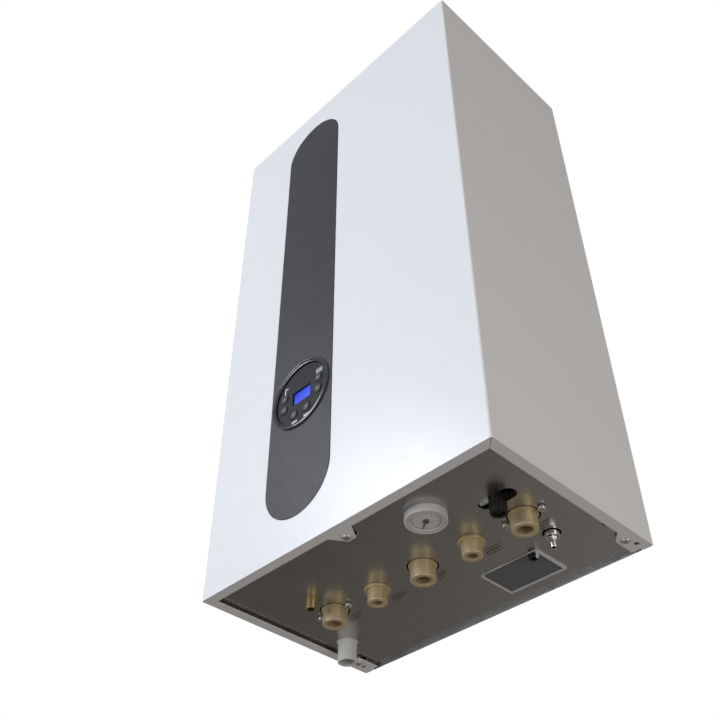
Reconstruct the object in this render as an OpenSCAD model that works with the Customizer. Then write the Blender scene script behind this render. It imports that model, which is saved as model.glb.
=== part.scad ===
// Wall-hung condensing gas boiler: a painted casing over a hung chassis that carries
// the heat cell, the fan, the gas valve, the water blocks and the control box.
// The wall is the plane y = 0, the front faces -y, and z = 0 is the casing's bottom rim.

/* [Casing] */
// Width of the casing
body_w = 400; // [392:1:430]
// Depth of the casing, from the wall to the front panel
body_d = 247; // [243:1:275]
// Height of the casing
body_h = 757; // [745:1:830]
// Thickness of the casing's painted sheet
sheet_t = 1; // [0.8:0.1:1.2]
// Outer radius of the casing's two front corners
corner_r = 2.5; // [2:0.1:4]
// Width of the lip turned in along the casing's bottom edge
lip_w = 11.8; // [10:0.2:14]
// Height of the chassis's bottom plate above the casing's rim
plate_lift = 4; // [4:0.1:6]
// Thickness of the chassis's sheet steel
frame_t = 1.2; // [1:0.1:1.5]

/* [Fascia and controls] */
// Width of the dark strip on the front panel
strip_w = 100.5; // [98:0.5:110]
// Distance of the strip's two ends from the casing's bottom and top
strip_margin = 39; // [30:1:60]
// Distance of the strip's centre line to the left of the casing's centre
strip_left = 53.5; // [50:0.5:60]
// Height of the centre of the control ring
ring_z = 202; // [195:1:215]
// Outer radius of the raised ring
ring_r = 46.5; // [45:0.5:48]
// Radius of the round opening inside the ring
ring_in_r = 41; // [40.6:0.1:42]
// Radius of a button
button_r = 5.6; // [5:0.1:6]
// Travel of a button
button_travel = 1; // [0.6:0.1:1.1]
// Width of the display window
screen_w = 29; // [26:0.5:31]
// Height of the display window
screen_h = 18; // [15:0.5:19]

/* [Connections] */
// Distance between neighbouring pipe tails
tail_pitch = 65; // [63:0.5:66]
// Distance of the row of tails from the wall
tail_out = 127.5; // [125:0.5:131]
// Distance of the middle tail to the right of the casing's centre
tail_mid = 10; // [6:0.5:12]
// How far the tails reach below the casing's rim
tail_drop = 13; // [10:0.5:30]
// Outer radius of a three-quarter inch tail
big_tail_r = 13.2; // [12.5:0.1:13.3]
// Bore radius of a three-quarter inch tail
big_bore_r = 8.25; // [7:0.25:9.5]
// Outer radius of a half inch tail
small_tail_r = 10.5; // [9.5:0.1:10.6]
// Bore radius of a half inch tail
small_bore_r = 5.5; // [4.5:0.25:7]
// Outer radius of the flue collar's outer tube
flue_out_r = 50; // [48:0.5:52]
// Bore radius of the flue collar's inner tube
flue_in_r = 30.2; // [29:0.1:31.5]
// Height of the flue collar above the casing
flue_h = 30; // [25:1:60]

/* [Heat cell] */
// Distance of the heat cell's axis below the casing's top
cell_drop = 167; // [160:1:175]
// Outer radius of the heat cell's drum
drum_r = 92; // [88:1:94]
// Outer radius of the expansion vessel
vessel_r = 158; // [140:1:160]
// Depth of the expansion vessel
vessel_d = 62; // [50:1:64]

/* [Hidden] */
$fn = 64;

// Clearances and the overrun of cuts
seat = 0.3;
run_fit = 0.05;
over = 1;

// Planes and edges that many pieces share
half_w = body_w / 2;
inner_half = half_w - sheet_t;
frame_half = inner_half - seat;
front_in = body_d - sheet_t;
frame_front = front_in - seat;
plate_top = plate_lift + frame_t;
roof_top = body_h - sheet_t - seat;
roof_z = roof_top - frame_t;
edge_h = 9;
back_edge_d = 22;

// Columns of the five pipe tails, from left to right
flow_x = tail_mid - 2 * tail_pitch;
hot_x = tail_mid - tail_pitch;
gas_x = tail_mid;
cold_x = tail_mid + tail_pitch;
return_x = tail_mid + 2 * tail_pitch;

// Casing: lips, tabs and their screws
top_lip_w = 14;
mitre_gap = 0.5;
tab_base_w = 33;
tab_tip_w = 10;
tab_reach = 17.5;
tab_hole_r = 2.2;
tab_hole_in = 10;
side_tab_w = 10.7;
side_tab_front = 44;
side_tab_slant = 12.6;
side_tab_back = 3.4;
side_hole_in = 14;
side_hole_back = 27;
slot_hole_r = 3;
slot_hole_in = 10;
slot_hole_back = 14;
screw_head_r = 4.5;
screw_head_h = 2;
screw_r = 1.9;
ear_t = 1;
ear_half = 7;
ear_z = sheet_t + seat;
clip_r = 4;
clip_z = ear_z + ear_t + seat;
clip_h = plate_lift - seat - clip_z;
ear_slot_r = 2.5;

// Chassis: the wall bracket and the pan in the back frame that takes it
bar_t = 1.5;
bar_h = 36;
bar_lift = 24;
bar_hook_d = 6;
bar_lip_h = 6;
bar_slot_pitch = 220;
bar_slot_r = 4.5;
bar_slot_len = 20;
bar_end = 20;
bar_half = bar_slot_pitch / 2 + bar_slot_len / 2 + bar_end;
pan_depth = 9;
pan_side = 12;
pan_half = bar_half + pan_side;
pan_low = 91;
pan_h = 68;
pan_z = body_h - pan_low;
tongue_half = 130;
tongue_t = 1.2;
bar_z = pan_z + bar_lift;
bar_top = bar_z + bar_h;

// Holes in the bottom plate
tail_hole_gap = 1.8;
spare_hole_r = 2;
spare_hole_in = 15;
spare_hole_out = 60;

// Fascia strip and ring
strip_proud = 0.8;
strip_depth = 3;
strip_ledge = 4;
strip_r = strip_w / 2;
ring_sleeve_t = 1.5;
ring_sleeve_d = 5.3;
ring_fit = 0.2;
ring_mid_r = (ring_r + ring_in_r) / 2;
ring_tube_r = (ring_r - ring_in_r) / 2;
ring_x = -strip_left;
sleeve_r = ring_in_r + ring_sleeve_t;

// Control box, face, buttons, display and board
face_gap = 0.4;
face_r = ring_in_r - face_gap;
face_proud = 0.2;
face_front = body_d + face_proud;
face_t = 3;
face_back = face_front - face_t;
collar_t = 1.6;
collar_h = 6.2;
box_front = face_back - collar_h;
box_d = 46;
box_wall = 2;
box_half_w = 103;
box_up = 90;
box_down = 90;
leg_w = 10;
leg_d = 30;
leg_in = 8;
leg_back = 8;
button_gap = 0.3;
button_out = 0.5;
button_brim = 1;
button_brim_t = 1;
button_stem_r = 2;
button_stem_len = 6.7;
side_button_x = 28;
side_button_z = 7;
side_button_step = 16;
low_button_x = 10.3;
low_button_z = -25.2;
BUTTON_PLACES = [
  [-side_button_x, side_button_z],
  [-side_button_x, side_button_z - side_button_step],
  [side_button_x, side_button_z],
  [side_button_x, side_button_z - side_button_step],
  [-low_button_x, low_button_z],
  [low_button_x, low_button_z]];
screen_gap = 0.3;
screen_sink = 2.2;
screen_z = -1;
screen_brim = 2;
screen_back_d = 3;
board_t = 1.6;
board_half = 40;
switch_r = 2.5;
switch_h = 1.2;
button_back = face_back - seat - button_brim_t - button_stem_len;
switch_front = button_back - button_travel - seat;
board_front = switch_front - switch_h;
post_r = 3;
post_in = 5;
spacer_half_w = 12;
spacer_half_h = 6;

// Pipe tails and their screws
tail_top = 20;
big_collar_r = 14.85;
big_collar_t = 5;
small_collar_r = 14.1;
small_collar_t = 3;
block_screw_out = 21.5;
block_screw_r = 4;
block_screw_h = 2.4;
block_screw_shank_r = 2;
block_screw_top = 30;
pillar_r = 5;
pillar_top = 40;

// Water blocks
big_column_r = 19;
small_column_r = 15;
big_column_top = 118;
small_column_top = 100;
arm_low = 52;
arm_top = 110;
arm_end = 10;
arm_back = 85;
boss_r = 9;
boss_out = 20.5;
fill_z = 40;
drain_z = 30;
drain_boss_r = 7;
side_boss_r = 12;
side_boss_len = 21;
block_z = (arm_low + arm_top) / 2;

// Plate heat exchanger
plates_half = 95;
plates_low = 45;
plates_top = 117;
plates_d = 45;
plates_count = 9;
plate_rim = 1.2;

// Pump
pump_rise = 42;
pump_z = big_column_top + pump_rise;
pump_r = 38;
pump_wall = 4;
pump_front = 22.5;
pump_back = 22.5;
pump_stub_r = 14;
pump_stub_bore = 7.2;
pump_stub_top = 44;
pump_motor_r = 34;
pump_motor_gap = 18;
pump_motor_len = front_in - pump_motor_gap - tail_out - pump_front;
pump_shaft_r = 4;
pump_shaft_in = 12;
pump_wheel_r = 28;
pump_wheel_t = 3;
pump_wheel_w = 14;
pump_blades = 6;
blade_t = 2;

// Three-way valve's motor
valve_motor_r = 17;
valve_side_gap = 12;
valve_motor_len = inner_half - valve_side_gap + flow_x - side_boss_len;
valve_plug_share = 10 / 23;
valve_plug_w = valve_plug_share * valve_motor_len;
valve_plug_h = 10;
valve_plug_d = 8;

// Relief valve and its knob
relief_body_r = 10;
relief_len = 27;
relief_spout_r = 6;
relief_spout_bore = 4;
relief_spout_in = 14;
relief_spout_low = -8;
relief_pipe_r = 7.5;
relief_back = tail_out + boss_out;
relief_front = relief_back + relief_len;
relief_y = relief_back + relief_spout_in;
relief_knob_r = 13;
relief_knob_len = 20;
relief_stem_r = 3;
relief_stem_len = 12;
knob_flat_t = 3;
knob_flutes = 10;
knob_flute_r = 2;

// Filling valve and its knob
fill_neck_len = 9;
fill_body_r = 9;
fill_y = tail_out + boss_out + fill_neck_len + fill_body_r;
fill_body_low = 8;
fill_body_top = 52;
fill_neck_r = 7;
fill_plug_r = 6;
fill_plug_len = 11;
fill_plug_z = 12.3;
fill_plug_in = 3;
fill_link_r = 4;
fill_link_bend = 8;
fill_link_z = 32;
fill_slot_len = 42;
fill_slot_r = 8.8;
fill_knob_r = 8.5;
fill_knob_low = -12;
fill_knob_top = 6;
fill_recess_r = 6.2;
fill_recess_d = 2.5;
fill_stem_r = 3;
fill_stem_top = 22;
fill_grooves = 16;
fill_groove_r = 0.7;

// Drain cock and its spindle
drain_reach = 44;
drain_y = tail_out - drain_reach;
drain_hole_r = 9.5;
drain_body_r = 8;
drain_body_low = 1;
drain_body_top = 38;
drain_hex_r = 5.2;
drain_hex_top = 0.5;
drain_hex_low = -5;
drain_nozzle_r = 3.8;
drain_nozzle_bore = 2.1;
drain_nozzle_low = -12.5;
drain_stem_r = 3;
drain_stem_top = 18;
drain_bead_r = 4.6;
drain_bead_t = 1.4;

// Pressure gauge: its place is a share of the way from the tail's collar to the front lip
gauge_share = 0.5545;
gauge_back = tail_out + small_collar_r;
gauge_y = gauge_back + gauge_share * (body_d - lip_w - gauge_back);
gauge_r = 21;
gauge_fit = 0.3;
gauge_low = -3.8;
gauge_top = 24;
gauge_rim_t = 6;
gauge_floor_d = 3.2;
gauge_floor = gauge_low + gauge_floor_d;
gauge_step_r = 13.6;
gauge_dial_t = 0.8;
needle_hub_r = 2.9;
needle_hub_t = 2.2;
needle_len = 12.8;
needle_tail = 4;
needle_w = 1;
needle_t = 0.6;
needle_gap = 0.5;
needle_pin_r = 0.8;
needle_pin_h = 3;
needle_angle = 146;
capillary_r = 2;
capillary_bend = 7;
capillary_z = 62;
gauge_neck_r = 5;
gauge_neck_gap = 1;
gauge_neck_h = fill_link_z - fill_link_r - gauge_neck_gap - gauge_top;

// Cable gland and label frame on the bottom plate
gland_x = 103;
gland_y = 65;
gland_r = 5;
gland_bore = 3;
gland_low = -1;
gland_nut_r = 7;
gland_nut_h = 5;
label_right = 112;
label_w = 72;
label_front = 71;
label_back = 22;
label_t = 1;
label_edge = 2.2;
label_edge_h = 2.4;
label_leg_h = 9;

// Expansion vessel and the plane of the pipes in front of it
cell_z = body_h - cell_drop;
vessel_x = 0;
vessel_drop = 90;
vessel_z = cell_z - vessel_drop;
vessel_low = vessel_z - vessel_r;
vessel_wall = 1.5;
vessel_rim = 4;
vessel_rim_t = 3;
vessel_stub_r = 7;
vessel_stub_bore = 3.2;
vessel_stub_len = 8;
vessel_stub_in = 33;
vessel_front = frame_t + seat + vessel_d;
pipe_r = 8;
pipe_gap = 6.5;
pipe_plane = vessel_front + pipe_gap + pipe_r;

// Heat cell, which fills the depth from the pipes to the front panel
cell_front_gap = 10;
door_t = 12;
door_boss_t = 16;
drum_flange_t = 4;
drum_back_gap = 8;
drum_back = pipe_plane + pipe_r + drum_back_gap;
duct_front = front_in - cell_front_gap;
door_front = duct_front - door_boss_t;
drum_front = door_front - door_t - drum_flange_t;
drum_len = drum_front - drum_back;
drum_wall = 2.5;
drum_flange = 8;
door_r = drum_r + drum_flange;
drum_stub_r = 10;
drum_stub_bore = 6;
drum_stub_len = 9;
flue_y = 130;
coil_r = 6;
coil_pitch = 11.8;
coil_start = 10;
coil_end = 15;
coil_turns = 1 + floor((drum_len - drum_wall - coil_start - coil_r - coil_end) / coil_pitch);
door_boss_r = 40;
door_wall = 3;
channel_half = 17;
burner_r = 33;
burner_wall = 1.5;
burner_end_gap = 36;
burner_len = drum_len + drum_flange_t - burner_end_gap;
burner_flange_r = 38;
burner_flange_t = 2;
probe_up = 24;
probe_out = 56;
probe_pitch = 12;
probe_r = 1.5;
probe_len = 42;
ceramic_r = 4;
ceramic_len = 9;

// Fan, mixer, silencer and mixture duct. The shares are those of the fan's motor, its housing, the mixer
// and the silencer, of the depth from the pipes to the front panel.
fan_depth_shares = [30, 40, 38, 27] / 135;
fan_front_gap = 11;
silencer_back_gap = 14;
silencer_back = pipe_plane + pipe_r + silencer_back_gap;
fan_room = front_in - fan_front_gap - silencer_back;
fan_motor_len = fan_depth_shares[0] * fan_room;
fan_d = fan_depth_shares[1] * fan_room;
mixer_len = fan_depth_shares[2] * fan_room;
fan_front = front_in - fan_front_gap - fan_motor_len;
fan_back = fan_front - fan_d;
fan_r = 55;
fan_side_gap = 19;
fan_x = inner_half - fan_side_gap - fan_r;
fan_drop = 135;
fan_z = cell_z - fan_drop;
fan_wall = 2.5;
fan_inlet_r = 18;
fan_outlet_in = 25;
fan_outlet_up = 85;
fan_wheel_r = 44;
fan_hub_r = 10;
fan_wheel_gap = 5;
fan_plate_t = 2;
fan_blades = 10;
fan_shaft_r = 4;
fan_shaft_hole = 6;
fan_shaft_in = 18;
fan_motor_r = 31;
mixer_r = 24;
mixer_bore = 12;
mixer_stub_r = 9;
mixer_stub_len = 6;
silencer_half = 25;
silencer_side_gap = 8;
silencer_x = max(fan_x, drum_r + silencer_side_gap + silencer_half);
silencer_down = 28;
silencer_up = 165;
silencer_wall = 2;
duct_wall = 2.5;

// Gas valve and gas pipes
valve_low = 105;
valve_h = 60;
valve_left = 32;
valve_right = 35;
valve_out_in = 13;
valve_out_y = fan_back - mixer_len + valve_out_in;
valve_front_wall = 25;
valve_back_wall = 12.5;
valve_front = max(tail_out, valve_out_y) + valve_front_wall;
valve_back = min(tail_out, valve_out_y) - valve_back_wall;
valve_z = fan_z - valve_low;
coil_can_r = 13;
coil_can_len = 24;
coil_can_in = 18;
gas_pipe_r = 8;
gas_bore_r = 6.8;
gas_small_r = 6;
gas_small_bore = 5;
gas_bend = 14;

// Water pipes
pipe_bore_r = 7;
pipe_bend = 14;
return_turn_z = 330;
return_port_x = 60;
return_port_down = 30;
flow_port_x = 50;
flow_port_up = 30;
flow_turn_z = 330;
vessel_pipe_r = 5;
vessel_pipe_bore = 3.2;
vessel_pipe_bend = 12;
vessel_turn_z = 300;

// Condensate trap and hose
trap_in = 35;
trap_r = 25;
trap_gap = 20.5;
trap_y = tail_out - valve_motor_r - trap_gap - trap_r;
trap_wall = 2;
trap_z = 60;
trap_h = 150;
hose_r = 8;
hose_bore = 6;
hose_bend = 14;
hose_in = 15;
hose_plane = trap_y + hose_in;
hose_front = drum_back + drum_len / 2;
hose_drop = 120;
hose_z = cell_z - hose_drop;
spigot_r = 10.75;
spigot_bore = 8.5;
spigot_low = -20;

// Flue
collar_flange_r = 62;
collar_flange_t = 1.5;
flue_ledge = 1.2;
flue_bore_r = flue_in_r - flue_ledge;
flue_wall = 1.8;
flue_out_wall = 1.2;
flue_joint_z = roof_z - 10;
flue_ribs = 3;
rib_t = 1.2;
rib_h = 8;
flue_stub_h = 8;

function unit(v) = v / norm(v);

// A box between two opposite corners
module block(low, high) {
  translate(low)
    cube(high - low);
}

// Round bars from a point along +x, +y and +z
module rod_x(p, r, len) {
  translate(p)
    rotate([0, 90, 0])
      cylinder(h = len, r = r);
}

module rod_y(p, r, len) {
  translate(p)
    rotate([-90, 0, 0])
      cylinder(h = len, r = r);
}

module rod_z(p, r, len) {
  translate(p)
    cylinder(h = len, r = r);
}

// A round bar between two points
module bar(a, b, r) {
  d = unit(b - a);
  translate(a)
    rotate([0, acos(d[2]), atan2(d[1], d[0])])
      cylinder(h = norm(b - a), r = r);
}

// A quarter turn of pipe at corner c, from direction u to direction v
module elbow(c, u, v, r, bend) {
  o = c - u * bend + v * bend;
  n = cross(-v, u);
  multmatrix([
    [-v[0], u[0], n[0], o[0]],
    [-v[1], u[1], n[1], o[1]],
    [-v[2], u[2], n[2], o[2]],
    [0, 0, 0, 1]])
    rotate_extrude(angle = 90)
      translate([bend, 0])
        circle(r);
}

// A run of round bar along a path with square turns; extra lengthens both ends
module pipe_run(path, r, bend, extra = 0) {
  last = len(path) - 1;
  for (i = [0 : last - 1]) {
    d = unit(path[i + 1] - path[i]);
    a = path[i] + d * (i == 0 ? -extra : bend);
    b = path[i + 1] - d * (i == last - 1 ? -extra : bend);
    bar(a, b, r);
  }
  for (i = [1 : last - 1])
    elbow(path[i], unit(path[i] - path[i - 1]), unit(path[i + 1] - path[i]), r, bend);
}

module pipe(path, r, bore, bend) {
  difference() {
    pipe_run(path, r, bend);
    pipe_run(path, bore, bend, over);
  }
}

// Plan of the casing, moved in from its outer face by inset
module plan(inset, back) {
  r = corner_r - inset;
  w = half_w - inset;
  d = body_d - inset;
  translate([-w, -d + r])
    square([2 * w, d - r + back]);
  translate([-w + r, -d])
    square([2 * (w - r), d]);
  for (s = [-1, 1])
    translate([s * (w - r), -d + r])
      circle(r);
}

// Outline of the strip in the front plane, moved in by inset
module strip_outline(inset) {
  r = strip_r - inset;
  low = strip_margin + strip_r;
  high = body_h - strip_margin - strip_r;
  translate([-strip_left - r, low])
    square([2 * r, high - low]);
  translate([-strip_left, low])
    circle(r);
  translate([-strip_left, high])
    circle(r);
}

// Stands a flat outline up in the front plane: its back at distance out from the wall
module on_front(out, depth) {
  translate([0, -out, 0])
    rotate([90, 0, 0])
      linear_extrude(depth)
        children();
}

// A slot with round ends along x, cut through the bottom plate
module slot_z(p, len, r, h) {
  translate(p)
    linear_extrude(h) {
      square([len - 2 * r, 2 * r], center = true);
      for (s = [-1, 1])
        translate([s * (len / 2 - r), 0])
          circle(r);
    }
}

// Casing
module lip_ring(z, width) {
  translate([0, 0, z])
    linear_extrude(sheet_t)
      difference() {
        plan(0, -seat);
        translate([-half_w + width, -body_d + width])
          square([body_w - 2 * width, body_d]);
      }
}

module front_tab() {
  y = -body_d + lip_w;
  linear_extrude(sheet_t)
    polygon([
      [-tab_base_w / 2, y - over],
      [-tab_base_w / 2, y],
      [-tab_tip_w / 2, y + tab_reach],
      [tab_tip_w / 2, y + tab_reach],
      [tab_base_w / 2, y],
      [tab_base_w / 2, y - over]]);
}

module side_tab(s) {
  x = half_w - lip_w;
  linear_extrude(sheet_t)
    polygon([
      [s * (x + over), -side_tab_front],
      [s * x, -side_tab_front],
      [s * (x - side_tab_w), -side_tab_front + side_tab_slant],
      [s * (x - side_tab_w), -side_tab_back],
      [s * (x + over), -side_tab_back]]);
}

module casing() {
  color("white")
    difference() {
      union() {
        linear_extrude(body_h)
          difference() {
            plan(0, -seat);
            plan(sheet_t, over);
          }
        lip_ring(0, lip_w);
        lip_ring(body_h - sheet_t, top_lip_w);
        front_tab();
        for (s = [-1, 1])
          side_tab(s);
      }
      on_front(front_in - over, sheet_t + 2 * over)
        strip_outline(strip_ledge);
      rod_z([0, -body_d + lip_w + tab_hole_in, -over], tab_hole_r, sheet_t + 2 * over);
      for (s = [-1, 1]) {
        rod_z([s * (half_w - side_hole_in), -side_hole_back, -over], tab_hole_r, sheet_t + 2 * over);
        rod_z([s * (half_w - slot_hole_in), -slot_hole_back, -over], slot_hole_r, sheet_t + 2 * over);
        translate([s * inner_half, -front_in, -over])
          rotate([0, 0, s > 0 ? 135 : 45])
            translate([0, -mitre_gap / 2, 0])
              cube([lip_w * 2, mitre_gap, sheet_t + over]);
      }
    }
}

module casing_screw(x, y) {
  rod_z([x, -y, -screw_head_h], screw_head_r, screw_head_h);
  rod_z([x, -y, -over], screw_r, clip_z + clip_h + over);
  rod_z([x, -y, clip_z], clip_r, clip_h);
}

module casing_screws() {
  color("silver") {
    casing_screw(0, body_d - lip_w - tab_hole_in);
    for (s = [-1, 1])
      casing_screw(s * (half_w - side_hole_in), side_hole_back);
  }
}

// Chassis
module back_frame() {
  notch = inner_half - lip_w;
  color("lightgray") {
    difference() {
      union() {
        block([-frame_half, -frame_t, 0], [frame_half, 0, roof_top]);
        block([-pan_half - frame_t, -pan_depth - frame_t, pan_z - frame_t],
              [pan_half + frame_t, 0, pan_z + pan_h + frame_t]);
        for (s = [-1, 1])
          block([s > 0 ? frame_half - frame_t : -frame_half, -back_edge_d, plate_top],
                [s > 0 ? frame_half : frame_t - frame_half, 0, roof_z]);
      }
      block([-pan_half, -pan_depth, pan_z], [pan_half, over, pan_z + pan_h]);
      for (s = [-1, 1])
        block([s > 0 ? notch : -half_w, -body_d, -over], [s > 0 ? half_w : -notch, over, plate_lift]);
    }
    block([-tongue_half, -bar_t - seat - seat - tongue_t, bar_top + seat],
          [tongue_half, -bar_t - seat - seat, pan_z + pan_h]);
  }
}

module wall_bracket() {
  color("gray")
    difference() {
      union() {
        block([-bar_half, -bar_t, bar_z], [bar_half, 0, bar_top]);
        block([-bar_half, -bar_hook_d, bar_top - bar_t], [bar_half, 0, bar_top]);
        block([-bar_half, -bar_hook_d, bar_top - bar_t], [bar_half, bar_t - bar_hook_d, bar_top + bar_lip_h]);
      }
      for (s = [-1, 1])
        translate([s * bar_slot_pitch / 2, over, bar_z + bar_h / 2])
          rotate([90, 0, 0])
            slot_z([0, 0, 0], bar_slot_len, bar_slot_r, bar_t + 2 * over);
    }
}

// Plan of the bottom and top plates, with the casing's round front corners
module tray_plan() {
  intersection() {
    plan(sheet_t + seat, 0);
    translate([-half_w, -body_d])
      square([body_w, body_d - frame_t]);
  }
}

// Edges folded along the front and the two sides of such a plate
module tray_edges(low, high) {
  translate([0, 0, low])
    linear_extrude(high - low)
      difference() {
        tray_plan();
        translate([frame_t - frame_half, frame_t - frame_front])
          square([2 * (frame_half - frame_t), body_d]);
        translate([-half_w, -back_edge_d - seat])
          square([body_w, body_d]);
      }
}

// A forked ear under the bottom plate, open to the front, that a casing screw slides into
module screw_ear(x, y) {
  difference() {
    union() {
      block([x - ear_half, -y - ear_slot_r, ear_z], [x + ear_half, -y + ear_half + ear_t, ear_z + ear_t]);
      block([x - ear_half, -y + ear_half, ear_z],
            [x + ear_half, -y + ear_half + ear_t, plate_lift + over / 2]);
    }
    rod_z([x, -y, 0], ear_slot_r, ear_z + ear_t + seat);
    block([x - ear_slot_r, -y - ear_half, 0], [x + ear_slot_r, -y, ear_z + ear_t + seat]);
  }
}

module plate_hole(x, y, r) {
  rod_z([x, -y, plate_lift - over], r, frame_t + 2 * over);
}

module bottom_plate() {
  color("dimgray")
    difference() {
      union() {
        translate([0, 0, plate_lift])
          linear_extrude(frame_t)
            tray_plan();
        tray_edges(plate_lift, plate_lift + edge_h);
        screw_ear(0, body_d - lip_w - tab_hole_in);
        for (s = [-1, 1])
          screw_ear(s * (half_w - side_hole_in), side_hole_back);
      }
      for (x = [flow_x, gas_x, return_x])
        plate_hole(x, tail_out, big_collar_r + tail_hole_gap);
      for (x = [hot_x, cold_x])
        plate_hole(x, tail_out, small_tail_r + seat);
      for (x = [flow_x, return_x], s = [-1, 1])
        plate_hole(x + s * block_screw_out, tail_out, block_screw_shank_r + run_fit);
      plate_hole(cold_x, gauge_y, gauge_r + gauge_fit);
      plate_hole(return_x, drain_y, drain_hole_r);
      plate_hole(flow_x, relief_y, relief_pipe_r + seat);
      plate_hole(-half_w + trap_in, trap_y, spigot_r + trap_wall + seat);
      plate_hole(gland_x, gland_y, gland_r + run_fit);
      plate_hole(half_w - spare_hole_in, spare_hole_out, spare_hole_r);
      slot_z([return_x, -fill_y, plate_lift - over], fill_slot_len, fill_slot_r, frame_t + 2 * over);
    }
}

module top_plate() {
  color("lightgray")
    difference() {
      union() {
        translate([0, 0, roof_z])
          linear_extrude(frame_t)
            tray_plan();
        tray_edges(roof_z - edge_h, roof_top);
      }
      rod_z([0, -flue_y, roof_z - over], flue_out_r - flue_out_wall, frame_t + 2 * over);
    }
}

// Fascia
module fascia_strip() {
  color("dimgray")
    difference() {
      union() {
        on_front(body_d, strip_proud)
          strip_outline(0);
        on_front(body_d - strip_depth, strip_depth)
          strip_outline(strip_ledge + ring_fit);
      }
      rod_y([ring_x, -body_d - over - strip_proud, ring_z], sleeve_r + ring_fit,
            strip_depth + strip_proud + 2 * over);
    }
}

module bezel_ring() {
  color("black")
    translate([ring_x, -body_d - strip_proud, ring_z])
      rotate([90, 0, 0]) {
        rotate_extrude()
          intersection() {
            translate([ring_mid_r, 0])
              circle(ring_tube_r);
            translate([ring_in_r, 0])
              square([2 * ring_tube_r, ring_tube_r]);
          }
        translate([0, 0, -ring_sleeve_d])
          difference() {
            cylinder(h = ring_sleeve_d + seat, r = sleeve_r);
            translate([0, 0, -over])
              cylinder(h = ring_sleeve_d + seat + 2 * over, r = ring_in_r);
          }
      }
}

module control_face() {
  color("dimgray")
    translate([ring_x, -face_front, ring_z])
      difference() {
        union() {
          rod_y([0, 0, 0], face_r, face_t);
          rod_y([0, 0, 0], face_r, face_t + collar_h);
        }
        rod_y([0, face_t, 0], face_r - collar_t, collar_h + over);
        for (p = BUTTON_PLACES)
          rod_y([p[0], -over, p[1]], button_r + button_gap, face_t + 2 * over);
        block([-screen_w / 2, -over, screen_z - screen_h / 2],
              [screen_w / 2, face_t + over, screen_z + screen_h / 2]);
      }
}

module button(i) {
  p = BUTTON_PLACES[i];
  color("gray")
    translate([ring_x + p[0], 0, ring_z + p[1]]) {
      rod_y([0, -face_front - button_out, 0], button_r, face_t + button_out + seat + button_brim_t);
      rod_y([0, -face_back + seat, 0], button_r + button_brim, button_brim_t);
      rod_y([0, -face_back + seat, 0], button_stem_r, button_brim_t + button_stem_len);
    }
}

module display() {
  w = screen_w / 2 - screen_gap;
  h = screen_h / 2 - screen_gap;
  color("royalblue")
    translate([ring_x, 0, ring_z + screen_z]) {
      block([-w, -face_front + screen_sink, -h], [w, -face_back, h]);
      block([-w - screen_brim, -face_back, -h - screen_brim],
            [w + screen_brim, -face_back + screen_back_d, h + screen_brim]);
    }
}

module circuit_board() {
  color("green")
    translate([ring_x, 0, ring_z]) {
      block([-board_half, -board_front, -board_half], [board_half, -board_front + board_t, board_half]);
      for (p = BUTTON_PLACES)
        rod_y([p[0], -switch_front, p[1]], switch_r, switch_h);
      block([-spacer_half_w, -face_back + screen_back_d, screen_z - spacer_half_h],
            [spacer_half_w, -board_front, screen_z + spacer_half_h]);
    }
}

module control_box() {
  left = ring_x - box_half_w;
  right = ring_x + box_half_w;
  low = ring_z - box_down;
  high = ring_z + box_up;
  back = box_front - box_d;
  post = board_half - post_in;
  color([0.2, 0.2, 0.22]) {
    difference() {
      block([left, -box_front, low], [right, -back, high]);
      block([left + box_wall, -box_front + box_wall, low + box_wall],
            [right - box_wall, -back - box_wall, high - box_wall]);
      rod_y([ring_x, -box_front - over, ring_z], face_r - collar_t, box_wall + 2 * over);
    }
    for (sx = [-1, 1], sz = [-1, 1])
      rod_y([ring_x + sx * post, -box_front + box_wall - over, ring_z + sz * post], post_r,
            box_front - box_wall - board_front + over);
    for (x = [left + leg_in, right - leg_in - leg_w])
      block([x, -back - leg_back - leg_d, plate_top], [x + leg_w, -back - leg_back, low + box_wall / 2]);
  }
}

// Pipe tails
module tail(x, r, bore, collar_r, collar_low, collar_h) {
  color("tan")
    difference() {
      union() {
        rod_z([x, -tail_out, -tail_drop], r, tail_drop + tail_top);
        rod_z([x, -tail_out, collar_low], collar_r, collar_h);
      }
      rod_z([x, -tail_out, -tail_drop - over], bore, tail_drop + tail_top + 2 * over);
    }
}

module big_tail(x) {
  tail(x, big_tail_r, big_bore_r, big_collar_r, plate_lift - over, big_collar_t);
}

module small_tail(x) {
  tail(x, small_tail_r, small_bore_r, small_collar_r, plate_lift - small_collar_t, small_collar_t);
}

module block_screws() {
  color("silver")
    for (x = [flow_x, return_x], s = [-1, 1]) {
      rod_z([x + s * block_screw_out, -tail_out, plate_lift - block_screw_h], block_screw_r, block_screw_h);
      rod_z([x + s * block_screw_out, -tail_out, 0], block_screw_shank_r, block_screw_top);
    }
}

// Water blocks
module water_block(big_x, small_x, s) {
  low_x = min(big_x, small_x) - (s > 0 ? 0 : arm_end);
  high_x = max(big_x, small_x) + (s > 0 ? arm_end : 0);
  difference() {
    union() {
      rod_z([big_x, -tail_out, tail_top], big_column_r, big_column_top - tail_top);
      rod_z([small_x, -tail_out, tail_top], small_column_r, small_column_top - tail_top);
      block([low_x, -tail_out, arm_low], [high_x, -arm_back, arm_top]);
      for (i = [-1, 1])
        rod_z([big_x + i * block_screw_out, -tail_out, plate_top], pillar_r, pillar_top - plate_top);
      children();
    }
    for (i = [-1, 1])
      rod_z([big_x + i * block_screw_out, -tail_out, plate_top - over], block_screw_shank_r + run_fit,
            block_screw_top + over - plate_lift);
    rod_z([big_x, -tail_out, tail_top - over], big_bore_r, big_column_top - tail_top + 2 * over);
    rod_z([small_x, -tail_out, tail_top - over], small_bore_r, small_column_top - tail_top);
  }
}

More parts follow.
